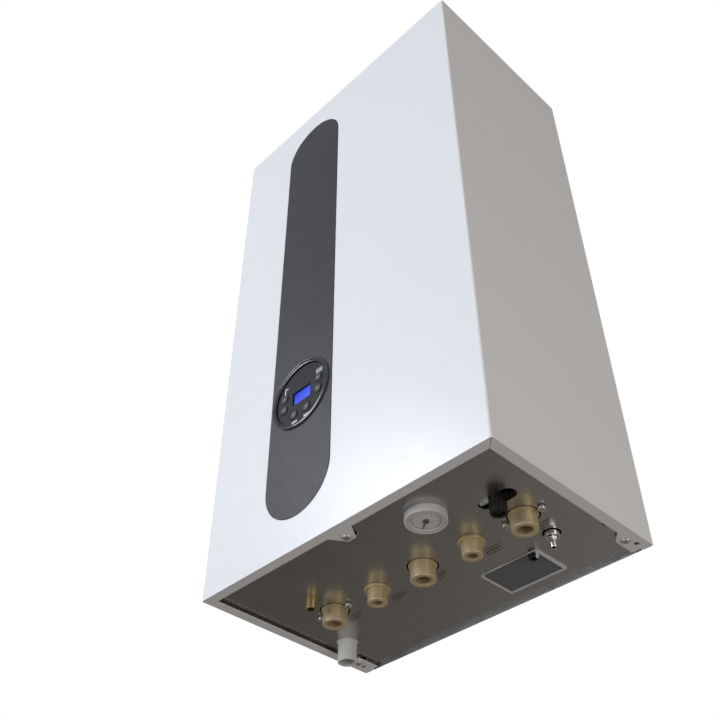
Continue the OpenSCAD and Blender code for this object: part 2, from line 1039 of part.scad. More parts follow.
module return_block() {
  color("goldenrod")
    water_block(return_x, cold_x, 1) {
      rod_y([return_x, -tail_out - boss_out, fill_z], boss_r, boss_out);
      rod_y([return_x, -tail_out, drain_z], drain_boss_r, tail_out - drain_y - drain_body_r);
    }
}

module flow_block() {
  color("goldenrod")
    water_block(flow_x, hot_x, -1) {
      rod_y([flow_x, -tail_out - boss_out, block_z], boss_r, boss_out);
      rod_x([flow_x - side_boss_len, -tail_out, block_z], side_boss_r, side_boss_len);
    }
}

module plate_exchanger() {
  step = plates_d / plates_count;
  color("silver") {
    block([-plates_half, -arm_back, plates_low], [plates_half, plates_d - arm_back, plates_top]);
    for (i = [1 : plates_count - 1])
      block([-plates_half - plate_rim, i * step - arm_back - plate_rim / 2, plates_low - plate_rim],
            [plates_half + plate_rim, i * step - arm_back + plate_rim / 2, plates_top + plate_rim]);
  }
}

// Pump
module pump_volute() {
  y = -tail_out - pump_front;
  len = pump_front + pump_back;
  color("dimgray")
    difference() {
      union() {
        rod_y([return_x, y, pump_z], pump_r, len);
        rod_z([return_x, -tail_out, big_column_top], pump_stub_r, pump_rise + pump_stub_top);
      }
      rod_y([return_x, y + pump_wall, pump_z], pump_r - pump_wall, len - 2 * pump_wall);
      rod_y([return_x, y - over, pump_z], pump_shaft_r + over, pump_wall + 2 * over);
      rod_z([return_x, -tail_out, big_column_top - over], pump_stub_bore, pump_rise);
      rod_z([return_x, -tail_out, pump_z], pump_stub_bore, pump_stub_top + over);
    }
}

module pump_motor() {
  y = -tail_out - pump_front - pump_motor_len;
  color("black")
    difference() {
      union() {
        rod_y([return_x, y, pump_z], pump_motor_r, pump_motor_len);
        block([return_x - pump_motor_r, y + pump_motor_len / 4, pump_z + pump_motor_r / 2],
              [return_x, y + pump_motor_len * 3 / 4, pump_z + pump_motor_r * 5 / 4]);
      }
      rod_y([return_x, y + pump_motor_len - pump_shaft_in - over, pump_z], pump_shaft_r + run_fit,
            pump_shaft_in + 2 * over);
    }
}

module pump_impeller() {
  back = -tail_out + pump_back - pump_wall - seat;
  shaft_front = -tail_out - pump_front - pump_shaft_in;
  color("gray") {
    rod_y([return_x, back - pump_wheel_t, pump_z], pump_wheel_r, pump_wheel_t);
    rod_y([return_x, shaft_front, pump_z], pump_shaft_r, back - shaft_front);
    for (i = [0 : pump_blades - 1])
      translate([return_x, back - pump_wheel_t, pump_z])
        rotate([0, i * 360 / pump_blades, 0])
          block([0, -pump_wheel_w, -blade_t / 2], [pump_wheel_r - over, over / 2, blade_t / 2]);
  }
}

// Three-way valve's motor, on the left of the flow block
module valve_motor() {
  x = flow_x - side_boss_len - valve_motor_len;
  mid = x + valve_motor_len / 2;
  color("whitesmoke") {
    rod_x([x, -tail_out, block_z], valve_motor_r, valve_motor_len);
    block([mid - valve_plug_w / 2, -tail_out - valve_plug_h / 2, block_z],
          [mid + valve_plug_w / 2, -tail_out + valve_plug_h / 2, block_z + valve_motor_r + valve_plug_d]);
  }
}

// Relief valve, on the front of the flow block
module relief_valve() {
  color("goldenrod")
    difference() {
      union() {
        rod_y([flow_x, -relief_front, block_z], relief_body_r, relief_len);
        rod_z([flow_x, -relief_y, relief_spout_low], relief_spout_r, block_z - relief_spout_low);
        rod_z([flow_x, -relief_y, plate_lift], relief_pipe_r, block_z - plate_lift);
      }
      rod_z([flow_x, -relief_y, relief_spout_low - over], relief_spout_bore,
            block_z - relief_body_r - relief_spout_low);
      rod_y([flow_x, -relief_front - over, block_z], relief_stem_r + run_fit, relief_stem_len + over + seat);
    }
}

module relief_knob() {
  front = relief_front + seat + relief_knob_len;
  color("firebrick") {
    difference() {
      rod_y([flow_x, -front, block_z], relief_knob_r, relief_knob_len);
      for (i = [0 : knob_flutes - 1])
        translate([flow_x, 0, block_z])
          rotate([0, i * 360 / knob_flutes, 0])
            rod_y([relief_knob_r, -front - over, 0], knob_flute_r, relief_knob_len + 2 * over);
    }
    rod_y([flow_x, -relief_front - seat - over, block_z], relief_stem_r, relief_stem_len + over + seat);
  }
}

// Filling valve, in front of the return block
module fill_valve() {
  color("silver")
    difference() {
      union() {
        rod_z([return_x, -fill_y, fill_body_low], fill_body_r, fill_body_top - fill_body_low);
        rod_y([return_x, -fill_y, fill_z], fill_neck_r, fill_y - tail_out - boss_out);
        translate([return_x - fill_body_r - fill_plug_len, -fill_y, fill_plug_z])
          rotate([0, 90, 0])
            cylinder(h = fill_plug_len + fill_plug_in, r = fill_plug_r, $fn = 6);
        pipe_run([
          [return_x, -fill_y, fill_link_z],
          [cold_x, -fill_y, fill_link_z],
          [cold_x, -tail_out - small_column_r - seat, fill_link_z]], fill_link_r, fill_link_bend);
      }
      rod_z([return_x, -fill_y, fill_body_low - over], fill_stem_r + run_fit,
            fill_stem_top - fill_body_low + over + seat);
    }
}

module fill_knob() {
  color("black")
    translate([return_x, -fill_y, 0]) {
      difference() {
        rod_z([0, 0, fill_knob_low], fill_knob_r, fill_knob_top - fill_knob_low);
        rod_z([0, 0, fill_knob_low - over], fill_recess_r, fill_recess_d + over);
        for (i = [0 : fill_grooves - 1])
          rotate([0, 0, i * 360 / fill_grooves])
            rod_z([fill_knob_r, 0, fill_knob_low - over], fill_groove_r, plate_lift - over - fill_knob_low);
      }
      rod_z([0, 0, fill_knob_top - over], fill_stem_r, fill_stem_top - fill_knob_top + over);
    }
}

// Drain cock, behind the return tail
module drain_cock() {
  color("silver")
    translate([return_x, -drain_y, 0])
      difference() {
        union() {
          rod_z([0, 0, drain_body_low], drain_body_r, drain_body_top - drain_body_low);
          rod_y([0, -drain_body_r, drain_z], drain_boss_r, drain_body_r);
        }
        rod_z([0, 0, 0], drain_stem_r + run_fit, drain_stem_top + seat);
      }
}

module drain_spindle() {
  color("silver")
    translate([return_x, -drain_y, 0])
      difference() {
        union() {
          rod_z([0, 0, drain_hex_low], drain_stem_r, drain_stem_top - drain_hex_low);
          translate([0, 0, drain_hex_low])
            cylinder(h = drain_hex_top - drain_hex_low, r = drain_hex_r, $fn = 6);
          rod_z([0, 0, drain_nozzle_low], drain_nozzle_r, drain_hex_low - drain_nozzle_low + over / 2);
          rod_z([0, 0, drain_nozzle_low + drain_bead_t], drain_bead_r, drain_bead_t);
        }
        rod_z([0, 0, drain_nozzle_low - over], drain_nozzle_bore, drain_hex_low - drain_nozzle_low + over);
      }
}

// Pressure gauge
module gauge_case() {
  color("white")
    translate([cold_x, -gauge_y, 0])
      difference() {
        union() {
          rod_z([0, 0, gauge_low], gauge_r, gauge_top - gauge_low);
          rod_z([0, 0, gauge_top - over], gauge_neck_r, gauge_neck_h + over);
          pipe_run([
            [0, 0, gauge_top + gauge_neck_h - over],
            [0, 0, capillary_z],
            [0, gauge_y - tail_out - small_column_r - seat, capillary_z]], capillary_r, capillary_bend);
        }
        rod_z([0, 0, gauge_low - over], gauge_r - gauge_rim_t, gauge_floor_d + over);
        rod_z([0, 0, gauge_floor - over], needle_pin_r + run_fit, needle_pin_h + over);
      }
}

module gauge_dial() {
  color("gainsboro")
    translate([cold_x, -gauge_y, 0])
      difference() {
        union() {
          rod_z([0, 0, gauge_floor - gauge_dial_t], gauge_r - gauge_rim_t - seat, gauge_dial_t);
          rod_z([0, 0, gauge_floor - 2 * gauge_dial_t], gauge_step_r, 2 * gauge_dial_t);
        }
        rod_z([0, 0, gauge_floor - 3 * gauge_dial_t], needle_pin_r + run_fit, 4 * gauge_dial_t);
      }
}

module gauge_needle() {
  z = gauge_floor - 2 * gauge_dial_t - needle_gap - needle_t;
  color("black")
    translate([cold_x, -gauge_y, 0]) {
      rod_z([0, 0, z], needle_pin_r, gauge_floor + needle_pin_h - seat - z);
      rod_z([0, 0, z + needle_t - needle_hub_t / 2], needle_hub_r, needle_hub_t / 2);
      rotate([0, 0, needle_angle])
        block([-needle_tail, -needle_w / 2, z], [needle_len, needle_w / 2, z + needle_t]);
    }
}

module cable_gland() {
  color("black")
    difference() {
      union() {
        rod_z([gland_x, -gland_y, gland_low], gland_r, plate_top + gland_nut_h - gland_low);
        rod_z([gland_x, -gland_y, plate_top], gland_nut_r, gland_nut_h);
      }
      rod_z([gland_x, -gland_y, gland_low - over], gland_bore,
            plate_top + gland_nut_h - gland_low + 2 * over);
    }
}

// Frame for a data label under the bottom plate, with a hanging leg at its front corner
module label_frame() {
  left = label_right - label_w;
  color("whitesmoke")
    difference() {
      union() {
        block([left, -label_front, plate_lift - label_t], [label_right, -label_back, plate_lift]);
        block([label_right - label_edge, -label_front, plate_lift - label_edge_h],
              [label_right, -label_back, plate_lift]);
        block([left, -label_back - label_edge, plate_lift - label_edge_h],
              [label_right, -label_back, plate_lift]);
        block([left, -label_front, plate_lift - label_edge_h], [left + label_edge, -label_back, plate_lift]);
        block([label_right - label_edge, -label_front, plate_lift - label_leg_h],
              [label_right, label_edge - label_front, plate_lift]);
      }
      rod_z([gland_x, -gland_y, plate_lift - label_leg_h], gland_r + seat, label_leg_h + over);
    }
}

// Expansion vessel, flat against the back frame
module expansion_vessel() {
  mid = vessel_front - vessel_d / 2;
  color("firebrick")
    difference() {
      union() {
        rod_y([vessel_x, -vessel_front, vessel_z], vessel_r - vessel_rim, vessel_d);
        rod_y([vessel_x, -mid - vessel_rim_t / 2, vessel_z], vessel_r, vessel_rim_t);
        rod_z([vessel_x, -vessel_stub_in, vessel_low - vessel_stub_len], vessel_stub_r, vessel_stub_len * 2);
      }
      rod_y([vessel_x, -vessel_front + vessel_wall, vessel_z], vessel_r - vessel_rim - vessel_wall,
            vessel_d - 2 * vessel_wall);
      rod_z([vessel_x, -vessel_stub_in, vessel_low - vessel_stub_len - over],
            vessel_stub_bore, vessel_stub_len * 3);
    }
}

module water_pipes() {
  return_z = cell_z - return_port_down;
  flow_z = cell_z + flow_port_up;
  color("peru") {
    pipe([
      [return_x, -tail_out, pump_z + pump_stub_top],
      [return_x, -tail_out, return_turn_z],
      [return_x, -pipe_plane, return_turn_z],
      [return_x, -pipe_plane, return_z],
      [return_port_x, -pipe_plane, return_z],
      [return_port_x, -drum_back, return_z]], pipe_r, pipe_bore_r, pipe_bend);
    pipe([
      [-flow_port_x, -drum_back, flow_z],
      [-flow_port_x, -pipe_plane, flow_z],
      [flow_x, -pipe_plane, flow_z],
      [flow_x, -pipe_plane, flow_turn_z],
      [flow_x, -tail_out, flow_turn_z],
      [flow_x, -tail_out, big_column_top]], pipe_r, pipe_bore_r, pipe_bend);
    pipe([
      [vessel_x, -vessel_stub_in, vessel_low - vessel_stub_len],
      [vessel_x, -vessel_stub_in, vessel_turn_z],
      [return_x, -vessel_stub_in, vessel_turn_z],
      [return_x, -vessel_stub_in, block_z],
      [return_x, -arm_back, block_z]], vessel_pipe_r, vessel_pipe_bore, vessel_pipe_bend);
  }
}

// Gas side
module gas_pipes() {
  out_z = valve_z + valve_h / 2;
  color("peru") {
    difference() {
      rod_z([gas_x, -tail_out, tail_top], gas_pipe_r, valve_z - tail_top);
      rod_z([gas_x, -tail_out, tail_top - over], gas_bore_r, valve_z - tail_top + 2 * over);
    }
    pipe([
      [gas_x + valve_right, -valve_out_y, out_z],
      [fan_x, -valve_out_y, out_z],
      [fan_x, -valve_out_y, fan_z - mixer_r - mixer_stub_len]], gas_small_r, gas_small_bore, gas_bend);
  }
}

module gas_valve() {
  mid_z = valve_z + valve_h / 2;
  color("silver")
    difference() {
      union() {
        block([gas_x - valve_left, -valve_front, valve_z],
              [gas_x + valve_right, -valve_back, valve_z + valve_h]);
        for (s = [-1, 1])
          rod_z([gas_x + s * coil_can_in, -(valve_front + valve_back) / 2, valve_z + valve_h], coil_can_r,
                coil_can_len);
      }
      rod_z([gas_x, -tail_out, valve_z - over], gas_bore_r, valve_h / 2);
      rod_x([gas_x, -valve_out_y, mid_z], gas_small_bore, valve_right + over);
    }
}

module gas_air_mixer() {
  color("silver")
    difference() {
      union() {
        rod_y([fan_x, -fan_back, fan_z], mixer_r, mixer_len);
        rod_z([fan_x, -valve_out_y, fan_z - mixer_r - mixer_stub_len], mixer_stub_r, mixer_r);
      }
      rod_y([fan_x, -fan_back - over, fan_z], mixer_bore, mixer_len + 2 * over);
      rod_z([fan_x, -valve_out_y, fan_z - mixer_r - mixer_stub_len - over], gas_small_bore, mixer_r + over);
    }
}

module air_silencer() {
  front = fan_back - mixer_len;
  low = fan_z - silencer_down;
  high = fan_z + silencer_up;
  color("black")
    difference() {
      block([silencer_x - silencer_half, -front, low], [silencer_x + silencer_half, -silencer_back, high]);
      block([silencer_x - silencer_half + silencer_wall, -front + silencer_wall, low + silencer_wall],
            [silencer_x + silencer_half - silencer_wall, -silencer_back - silencer_wall, high + over]);
      rod_y([fan_x, -front - over, fan_z], mixer_bore, silencer_wall + 2 * over);
    }
}

module fan_housing() {
  right = fan_x + fan_r;
  color("silver")
    difference() {
      union() {
        rod_y([fan_x, -fan_front, fan_z], fan_r, fan_d);
        block([right - fan_outlet_in - 2 * fan_wall, -fan_front, fan_z],
              [right, -fan_back, fan_z + fan_outlet_up]);
      }
      rod_y([fan_x, -fan_front + fan_wall, fan_z], fan_r - fan_wall, fan_d - 2 * fan_wall);
      block([right - fan_outlet_in - fan_wall, -fan_front + fan_wall, fan_z],
            [right - fan_wall, -fan_back - fan_wall, fan_z + fan_outlet_up + over]);
      rod_y([fan_x, -fan_front - over, fan_z], fan_shaft_hole, fan_wall + 2 * over);
      rod_y([fan_x, -fan_back - fan_wall - over, fan_z], fan_inlet_r, fan_wall + 2 * over);
    }
}

module fan_motor() {
  color("black")
    difference() {
      rod_y([fan_x, -fan_front - fan_motor_len, fan_z], fan_motor_r, fan_motor_len);
      rod_y([fan_x, -fan_front - fan_shaft_in - over, fan_z], fan_shaft_r + run_fit, fan_shaft_in + 2 * over);
    }
}

module fan_impeller() {
  front = fan_front - fan_wall - fan_wheel_gap;
  back = fan_back + fan_wall + fan_wheel_gap;
  color("gray") {
    rod_y([fan_x, -front, fan_z], fan_wheel_r, fan_plate_t);
    rod_y([fan_x, -front, fan_z], fan_hub_r, fan_plate_t * 4);
    rod_y([fan_x, -fan_front - fan_shaft_in, fan_z], fan_shaft_r,
          fan_front + fan_shaft_in - front + fan_plate_t);
    for (i = [0 : fan_blades - 1])
      translate([fan_x, -front, fan_z])
        rotate([0, i * 360 / fan_blades, 0])
          block([fan_hub_r + over, over, -blade_t / 2], [fan_wheel_r - over, front - back, blade_t / 2]);
  }
}

module mixture_duct() {
  left = door_r;
  right = fan_x + fan_r;
  inner = right - fan_outlet_in - 2 * fan_wall;
  low = fan_z + fan_outlet_up;
  mid = cell_z - channel_half;
  high = cell_z + channel_half;
  w = duct_wall;
  color("silver")
    difference() {
      union() {
        block([inner, -duct_front, low], [right, -fan_back, high]);
        block([left, -duct_front, mid], [right, -door_front, high]);
      }
      block([inner + w, -fan_front + w, low - over], [right - w, -fan_back - w, high - w]);
      block([inner + w, -duct_front + w, mid + w], [right - w, -fan_back - w, high - w]);
      block([left - over, -duct_front + w, mid + w], [right - w, -door_front - w, high - w]);
    }
}

module burner_door() {
  face = -door_front;
  boss = -door_front - door_boss_t;
  w = door_wall;
  color("silver")
    difference() {
      union() {
        rod_y([0, face, cell_z], door_r, door_t);
        rod_y([0, boss, cell_z], door_boss_r, door_boss_t + over);
        block([0, boss, cell_z - channel_half], [door_r, face + over, cell_z + channel_half]);
      }
      rod_y([0, boss + w, cell_z], burner_r - burner_wall, door_boss_t + door_t);
      block([0, boss + w, cell_z - channel_half + w], [door_r + over, face - w, cell_z + channel_half - w]);
      for (i = [0, 1])
        rod_y([-probe_out, face - over, cell_z + probe_up - i * probe_pitch], probe_r + seat,
              door_t + 2 * over);
    }
}

module burner_tube() {
  y = -drum_front - drum_flange_t;
  color("silver")
    difference() {
      union() {
        rod_y([0, y, cell_z], burner_r, burner_len);
        rod_y([0, y, cell_z], burner_flange_r, burner_flange_t);
      }
      rod_y([0, y - over, cell_z], burner_r - burner_wall, burner_len - burner_wall + over);
    }
}

module electrodes() {
  color("white")
    for (i = [0, 1]) {
      z = cell_z + probe_up - i * probe_pitch;
      rod_y([-probe_out, -door_front - ceramic_len, z], ceramic_r, ceramic_len);
      rod_y([-probe_out, -door_front - ceramic_len, z], probe_r, ceramic_len + door_t + probe_len);
    }
}

module exchanger_drum() {
  flue_top = cell_z + drum_r + flue_stub_h;
  color("silver")
    difference() {
      union() {
        rod_y([0, -drum_front, cell_z], drum_r, drum_len);
        rod_y([0, -drum_front - drum_flange_t, cell_z], door_r, drum_flange_t);
        rod_z([0, -flue_y, cell_z], flue_in_r + flue_wall, drum_r + flue_stub_h);
        rod_z([0, -hose_front, cell_z - drum_r - drum_stub_len], drum_stub_r, drum_stub_len * 2);
      }
      rod_y([0, -drum_front - drum_flange_t - over, cell_z], drum_r - drum_wall,
            drum_len + drum_flange_t + over - drum_wall);
      rod_z([0, -flue_y, cell_z], flue_bore_r, drum_r + flue_stub_h + over);
      rod_z([0, -hose_front, cell_z - drum_r - drum_stub_len - over], drum_stub_bore, drum_stub_len * 3);
      rod_y([return_port_x, -drum_back - drum_wall - over, cell_z - return_port_down], pipe_bore_r,
            drum_wall + 2 * over);
      rod_y([-flow_port_x, -drum_back - drum_wall - over, cell_z + flow_port_up], pipe_bore_r,
            drum_wall + 2 * over);
    }
}

module exchanger_coil() {
  ring = drum_r - drum_wall - seat - coil_r;
  start = drum_back + drum_wall + coil_start;
  color("gray")
    translate([0, -start, cell_z])
      rotate([90, 0, 0])
        rotate_extrude()
          for (i = [0 : coil_turns - 1])
            translate([ring, i * coil_pitch])
              circle(coil_r);
}

// Condensate trap, its hose from the drum and its spigot through the bottom plate
module condensate_trap() {
  x = -half_w + trap_in;
  color("whitesmoke") {
    difference() {
      union() {
        rod_z([x, -trap_y, trap_z], trap_r, trap_h);
        rod_z([x, -trap_y, spigot_low], spigot_r, trap_z - spigot_low + over);
        rod_z([x, -trap_y, plate_lift], spigot_r + trap_wall, trap_z - plate_lift);
      }
      rod_z([x, -trap_y, trap_z + trap_wall], trap_r - trap_wall, trap_h - 2 * trap_wall);
      rod_z([x, -trap_y, spigot_low - over], spigot_bore, trap_z - spigot_low + trap_wall + 2 * over);
      rod_z([x, -hose_plane, trap_z + trap_h - trap_wall - over], hose_bore, trap_wall + 2 * over);
    }
    pipe([
      [x, -hose_plane, trap_z + trap_h],
      [x, -hose_plane, hose_z],
      [x, -hose_front, hose_z],
      [0, -hose_front, hose_z],
      [0, -hose_front, cell_z - drum_r - drum_stub_len]], hose_r, hose_bore, hose_bend);
  }
}

// Flue
module flue_duct() {
  low = cell_z + drum_r + flue_stub_h;
  color("whitesmoke")
    difference() {
      rod_z([0, -flue_y, low], flue_in_r + flue_wall, flue_joint_z - low);
      rod_z([0, -flue_y, low - over], flue_bore_r, flue_joint_z - low + 2 * over);
    }
}

module flue_collar() {
  top = body_h + flue_h;
  bore = flue_out_r - flue_out_wall;
  color("whitesmoke")
    translate([0, -flue_y, 0])
      difference() {
        union() {
          difference() {
            union() {
              rod_z([0, 0, roof_top], collar_flange_r, collar_flange_t);
              rod_z([0, 0, roof_top], flue_out_r, top - roof_top);
            }
            rod_z([0, 0, roof_top - over], bore, top - roof_top + 2 * over);
          }
          rod_z([0, 0, flue_joint_z], flue_in_r + flue_wall, top - flue_joint_z);
          for (i = [0 : flue_ribs - 1])
            rotate([0, 0, 90 + i * 360 / flue_ribs])
              block([0, -rib_t / 2, roof_top], [bore + flue_out_wall / 2, rib_t / 2, roof_top + rib_h]);
        }
        rod_z([0, 0, flue_joint_z - over], flue_in_r, top - flue_joint_z + 2 * over);
      }
}

back_frame();
bottom_plate();
top_plate();
wall_bracket();
casing();
casing_screws();
fascia_strip();
bezel_ring();
control_box();
control_face();
display();
circuit_board();
button(0);  // button_left_up
button(1);  // button_left_down
button(2);  // button_right_up
button(3);  // button_right_down
button(4);  // button_low_left
button(5);  // button_low_right
big_tail(flow_x);  // flow_tail
small_tail(hot_x);  // hot_water_tail
big_tail(gas_x);  // gas_tail
small_tail(cold_x);  // cold_water_tail
big_tail(return_x);  // return_tail
block_screws();
return_block();
flow_block();
plate_exchanger();
pump_volute();
pump_motor();
pump_impeller();
valve_motor();
relief_valve();
relief_knob();
fill_valve();
fill_knob();
drain_cock();
drain_spindle();
gauge_case();
gauge_dial();
gauge_needle();
cable_gland();
label_frame();
expansion_vessel();
water_pipes();
gas_pipes();
gas_valve();
gas_air_mixer();
air_silencer();
fan_housing();
fan_motor();
fan_impeller();
mixture_duct();
burner_door();
burner_tube();
electrodes();
exchanger_drum();
exchanger_coil();
condensate_trap();
flue_duct();
flue_collar();
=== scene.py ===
"""Looks of a wall-hung condensing gas boiler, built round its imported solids."""
import math

import bmesh
import bpy
from mathutils import Matrix, Vector


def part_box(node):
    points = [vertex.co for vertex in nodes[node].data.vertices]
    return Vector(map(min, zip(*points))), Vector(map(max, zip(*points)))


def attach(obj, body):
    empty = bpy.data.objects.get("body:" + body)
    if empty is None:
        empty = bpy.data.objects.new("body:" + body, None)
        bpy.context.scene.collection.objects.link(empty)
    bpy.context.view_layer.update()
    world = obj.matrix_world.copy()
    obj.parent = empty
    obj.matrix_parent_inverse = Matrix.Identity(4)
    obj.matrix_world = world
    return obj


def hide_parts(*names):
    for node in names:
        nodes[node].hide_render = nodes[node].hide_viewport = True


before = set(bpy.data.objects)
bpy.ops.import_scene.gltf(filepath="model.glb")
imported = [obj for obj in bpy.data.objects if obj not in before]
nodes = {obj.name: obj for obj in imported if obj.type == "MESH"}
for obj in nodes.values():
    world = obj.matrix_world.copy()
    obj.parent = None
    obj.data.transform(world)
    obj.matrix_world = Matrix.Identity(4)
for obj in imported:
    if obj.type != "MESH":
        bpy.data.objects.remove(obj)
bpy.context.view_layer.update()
MM = 0.001

# Camera. It looks up at the boiler from below its front right corner, as someone does who kneels
# under it to read the gauge. The place and the angles come from the edges of the casing.
camera_place = (0.595, -0.793, -0.520)
camera_azimuth = 45.45
camera_elevation = -42.46
camera_lens = 49.37
film_w = 36
near_clip = 0.01
camera_data = bpy.data.cameras.new("camera")
camera_data.lens = camera_lens
camera_data.sensor_width = film_w
camera_data.clip_start = near_clip
camera = bpy.data.objects.new("camera", camera_data)
camera.location = camera_place
camera.rotation_euler = (math.radians(90 - camera_elevation), 0, math.radians(camera_azimuth))
bpy.context.scene.collection.objects.link(camera)
bpy.context.scene.camera = camera
bpy.context.scene.view_settings.view_transform = "Standard"

# Studio. A cyclorama that is cool on the left and warm on the right and below, with a darker patch low
# at the left back. A broad soft box stands low in front and a weak warm one low on the right. A small
# bright one at the upper left makes the highlight along the lower edge of the front.
cool_light = (0.91, 0.955, 1.02)
warm_light = (1.0, 0.925, 0.845)
front_glow = 0.45
right_glow = 0.34
floor_glow = 0.265
patch_glow = 0.10
front_way = (-0.62, -0.70, 0.35)
patch_way = (-0.78, 0.28, -0.56)
upwards = (0, 0, 1)
side_blend = 0.9
horizon_low = -0.30
horizon_high = 0.25
patch_edge = 0.74
patch_core = 0.95
floor_drop = 1.25
floor_half = 7
floor_colour = (0.86, 0.86, 0.86)

world = bpy.data.worlds.new("studio")
world.use_nodes = True
bpy.context.scene.world = world
world_nodes = world.node_tree.nodes
world_links = world.node_tree.links
world_nodes.clear()
around = world_nodes.new("ShaderNodeTexCoord").outputs["Generated"]


def facing(way, least, most):
    """How far a direction in the studio faces a way, from 0 at the product least to 1 at most."""
    product = world_nodes.new("ShaderNodeVectorMath")
    product.operation = "DOT_PRODUCT"
    product.inputs[1].default_value = way
    share = world_nodes.new("ShaderNodeMapRange")
    share.inputs["From Min"].default_value = least
    share.inputs["From Max"].default_value = most
    world_links.new(around, product.inputs[0])
    world_links.new(product.outputs["Value"], share.inputs["Value"])
    return share.outputs["Result"]


def blend(share):
    """A node that blends colour A into colour B by a share."""
    mix = world_nodes.new("ShaderNodeMix")
    mix.data_type = "RGBA"
    world_links.new(share, mix.inputs["Factor"])
    return mix


def glowing(strength, tint):
    return (*[strength * c for c in tint], 1)


walls = blend(facing(front_way, -side_blend, side_blend))
walls.inputs["A"].default_value = glowing(right_glow, warm_light)
walls.inputs["B"].default_value = glowing(front_glow, cool_light)
ground = blend(facing(patch_way, patch_edge, patch_core))
ground.inputs["A"].default_value = glowing(floor_glow, warm_light)
ground.inputs["B"].default_value = glowing(patch_glow, warm_light)
room = blend(facing(upwards, horizon_low, horizon_high))
glow = world_nodes.new("ShaderNodeBackground")
backdrop = world_nodes.new("ShaderNodeBackground")
backdrop.inputs["Color"].default_value = (1, 1, 1, 1)
seen = world_nodes.new("ShaderNodeLightPath")
choice = world_nodes.new("ShaderNodeMixShader")
world_out = world_nodes.new("ShaderNodeOutputWorld")
world_links.new(ground.outputs["Result"], room.inputs["A"])
world_links.new(walls.outputs["Result"], room.inputs["B"])
world_links.new(room.outputs["Result"], glow.inputs["Color"])
world_links.new(seen.outputs["Is Camera Ray"], choice.inputs["Fac"])
world_links.new(glow.outputs["Background"], choice.inputs[1])
world_links.new(backdrop.outputs["Background"], choice.inputs[2])
world_links.new(choice.outputs["Shader"], world_out.inputs["Surface"])


def soft_box(name, place, target, size, watts, colour):
    data = bpy.data.lights.new(name, "AREA")
    data.shape = "DISK"
    data.size = size
    data.energy = watts
    data.color = colour
    lamp = bpy.data.objects.new(name, data)
    lamp.location = place
    lamp.rotation_euler = (Vector(target) - Vector(place)).to_track_quat("-Z", "Y").to_euler()
    bpy.context.scene.collection.objects.link(lamp)


soft_box("front_light", place=(-0.85, -3.40, 0.15), target=(0, -0.25, 0.35), size=2.2, watts=73,
         colour=cool_light)
soft_box("right_light", place=(2.1, -0.2, -0.6), target=(0.2, -0.1, 0.20), size=1.4, watts=11,
         colour=warm_light)
soft_box("highlight_light", place=(-1.56, -2.23, 1.57), target=(0.07, -0.25, 0.03), size=0.78, watts=12,
         colour=cool_light)


def surface(name, colour, roughness, metallic=0.0, ior=1.5):
    material = bpy.data.materials.new(name)
    material.use_nodes = True
    shader = material.node_tree.nodes["Principled BSDF"]
    shader.inputs["Base Color"].default_value = (*colour, 1)
    shader.inputs["Roughness"].default_value = roughness
    shader.inputs["Metallic"].default_value = metallic
    shader.inputs["IOR"].default_value = ior
    return material


floor_mesh = bpy.data.meshes.new("floor")
floor_corners = [(x * floor_half, y * floor_half, -floor_drop)
                 for x, y in ((-1, -1), (1, -1), (1, 1), (-1, 1))]
floor_mesh.from_pydata(floor_corners, [], [(0, 1, 2, 3)])
floor_mesh.materials.append(surface("floor_paint", floor_colour, roughness=0.9))
floor = bpy.data.objects.new("floor", floor_mesh)
bpy.context.scene.collection.objects.link(floor)
floor.visible_diffuse = False
floor.visible_glossy = False

# Hanging frame. The back, the bracket and the top plate are galvanised sheet steel, bent and spot
# welded: a dull grey zinc with a faint crystal pattern, its cut edges slightly rounded.
zinc_colour = (0.44, 0.45, 0.46)
zinc_edge = 0.25
sharp_angle = math.radians(35)
flat_angle = math.radians(0.5)
weld_reach = 0.01
noise_low = 0.3
noise_high = 0.7


def noise(material, scale, detail=3, stretch=(1, 1, 1), kind="ShaderNodeTexNoise"):
    """The value of a noise that keeps to the piece when the piece moves."""
    tree = material.node_tree
    coords = tree.nodes.new("ShaderNodeTexCoord")
    mapping = tree.nodes.new("ShaderNodeMapping")
    mapping.inputs["Scale"].default_value = stretch
    texture = tree.nodes.new(kind)
    texture.inputs["Scale"].default_value = scale
    if kind == "ShaderNodeTexNoise":
        texture.inputs["Detail"].default_value = detail
    tree.links.new(coords.outputs["Object"], mapping.inputs["Vector"])
    tree.links.new(mapping.outputs["Vector"], texture.inputs["Vector"])
    return texture.outputs[0]


def vary_roughness(material, pattern, low, high, from_low=noise_low, from_high=noise_high):
    tree = material.node_tree
    span = tree.nodes.new("ShaderNodeMapRange")
    span.inputs["From Min"].default_value = from_low
    span.inputs["From Max"].default_value = from_high
    span.inputs["To Min"].default_value = low
    span.inputs["To Max"].default_value = high
    tree.links.new(pattern, span.inputs["Value"])
    tree.links.new(span.outputs["Result"], tree.nodes["Principled BSDF"].inputs["Roughness"])


def vary_shade(material, pattern, colour, dark, light):
    """Lets a pattern take the colour from its share dark to its share light."""
    tree = material.node_tree
    ramp = tree.nodes.new("ShaderNodeValToRGB")
    for end, place, share in zip(ramp.color_ramp.elements, (noise_low, noise_high), (dark, light)):
        end.position = place
        end.color = (*[min(1, c * share) for c in colour], 1)
    tree.links.new(pattern, ramp.inputs["Fac"])
    tree.links.new(ramp.outputs["Color"], tree.nodes["Principled BSDF"].inputs["Base Color"])


def grain(material, pattern, depth):
    """Raises a pattern as a grain, depth millimetres deep."""
    tree = material.node_tree
    bump = tree.nodes.new("ShaderNodeBump")
    bump.inputs["Distance"].default_value = depth * MM
    tree.links.new(pattern, bump.inputs["Height"])
    tree.links.new(bump.outputs["Normal"], tree.nodes["Principled BSDF"].inputs["Normal"])


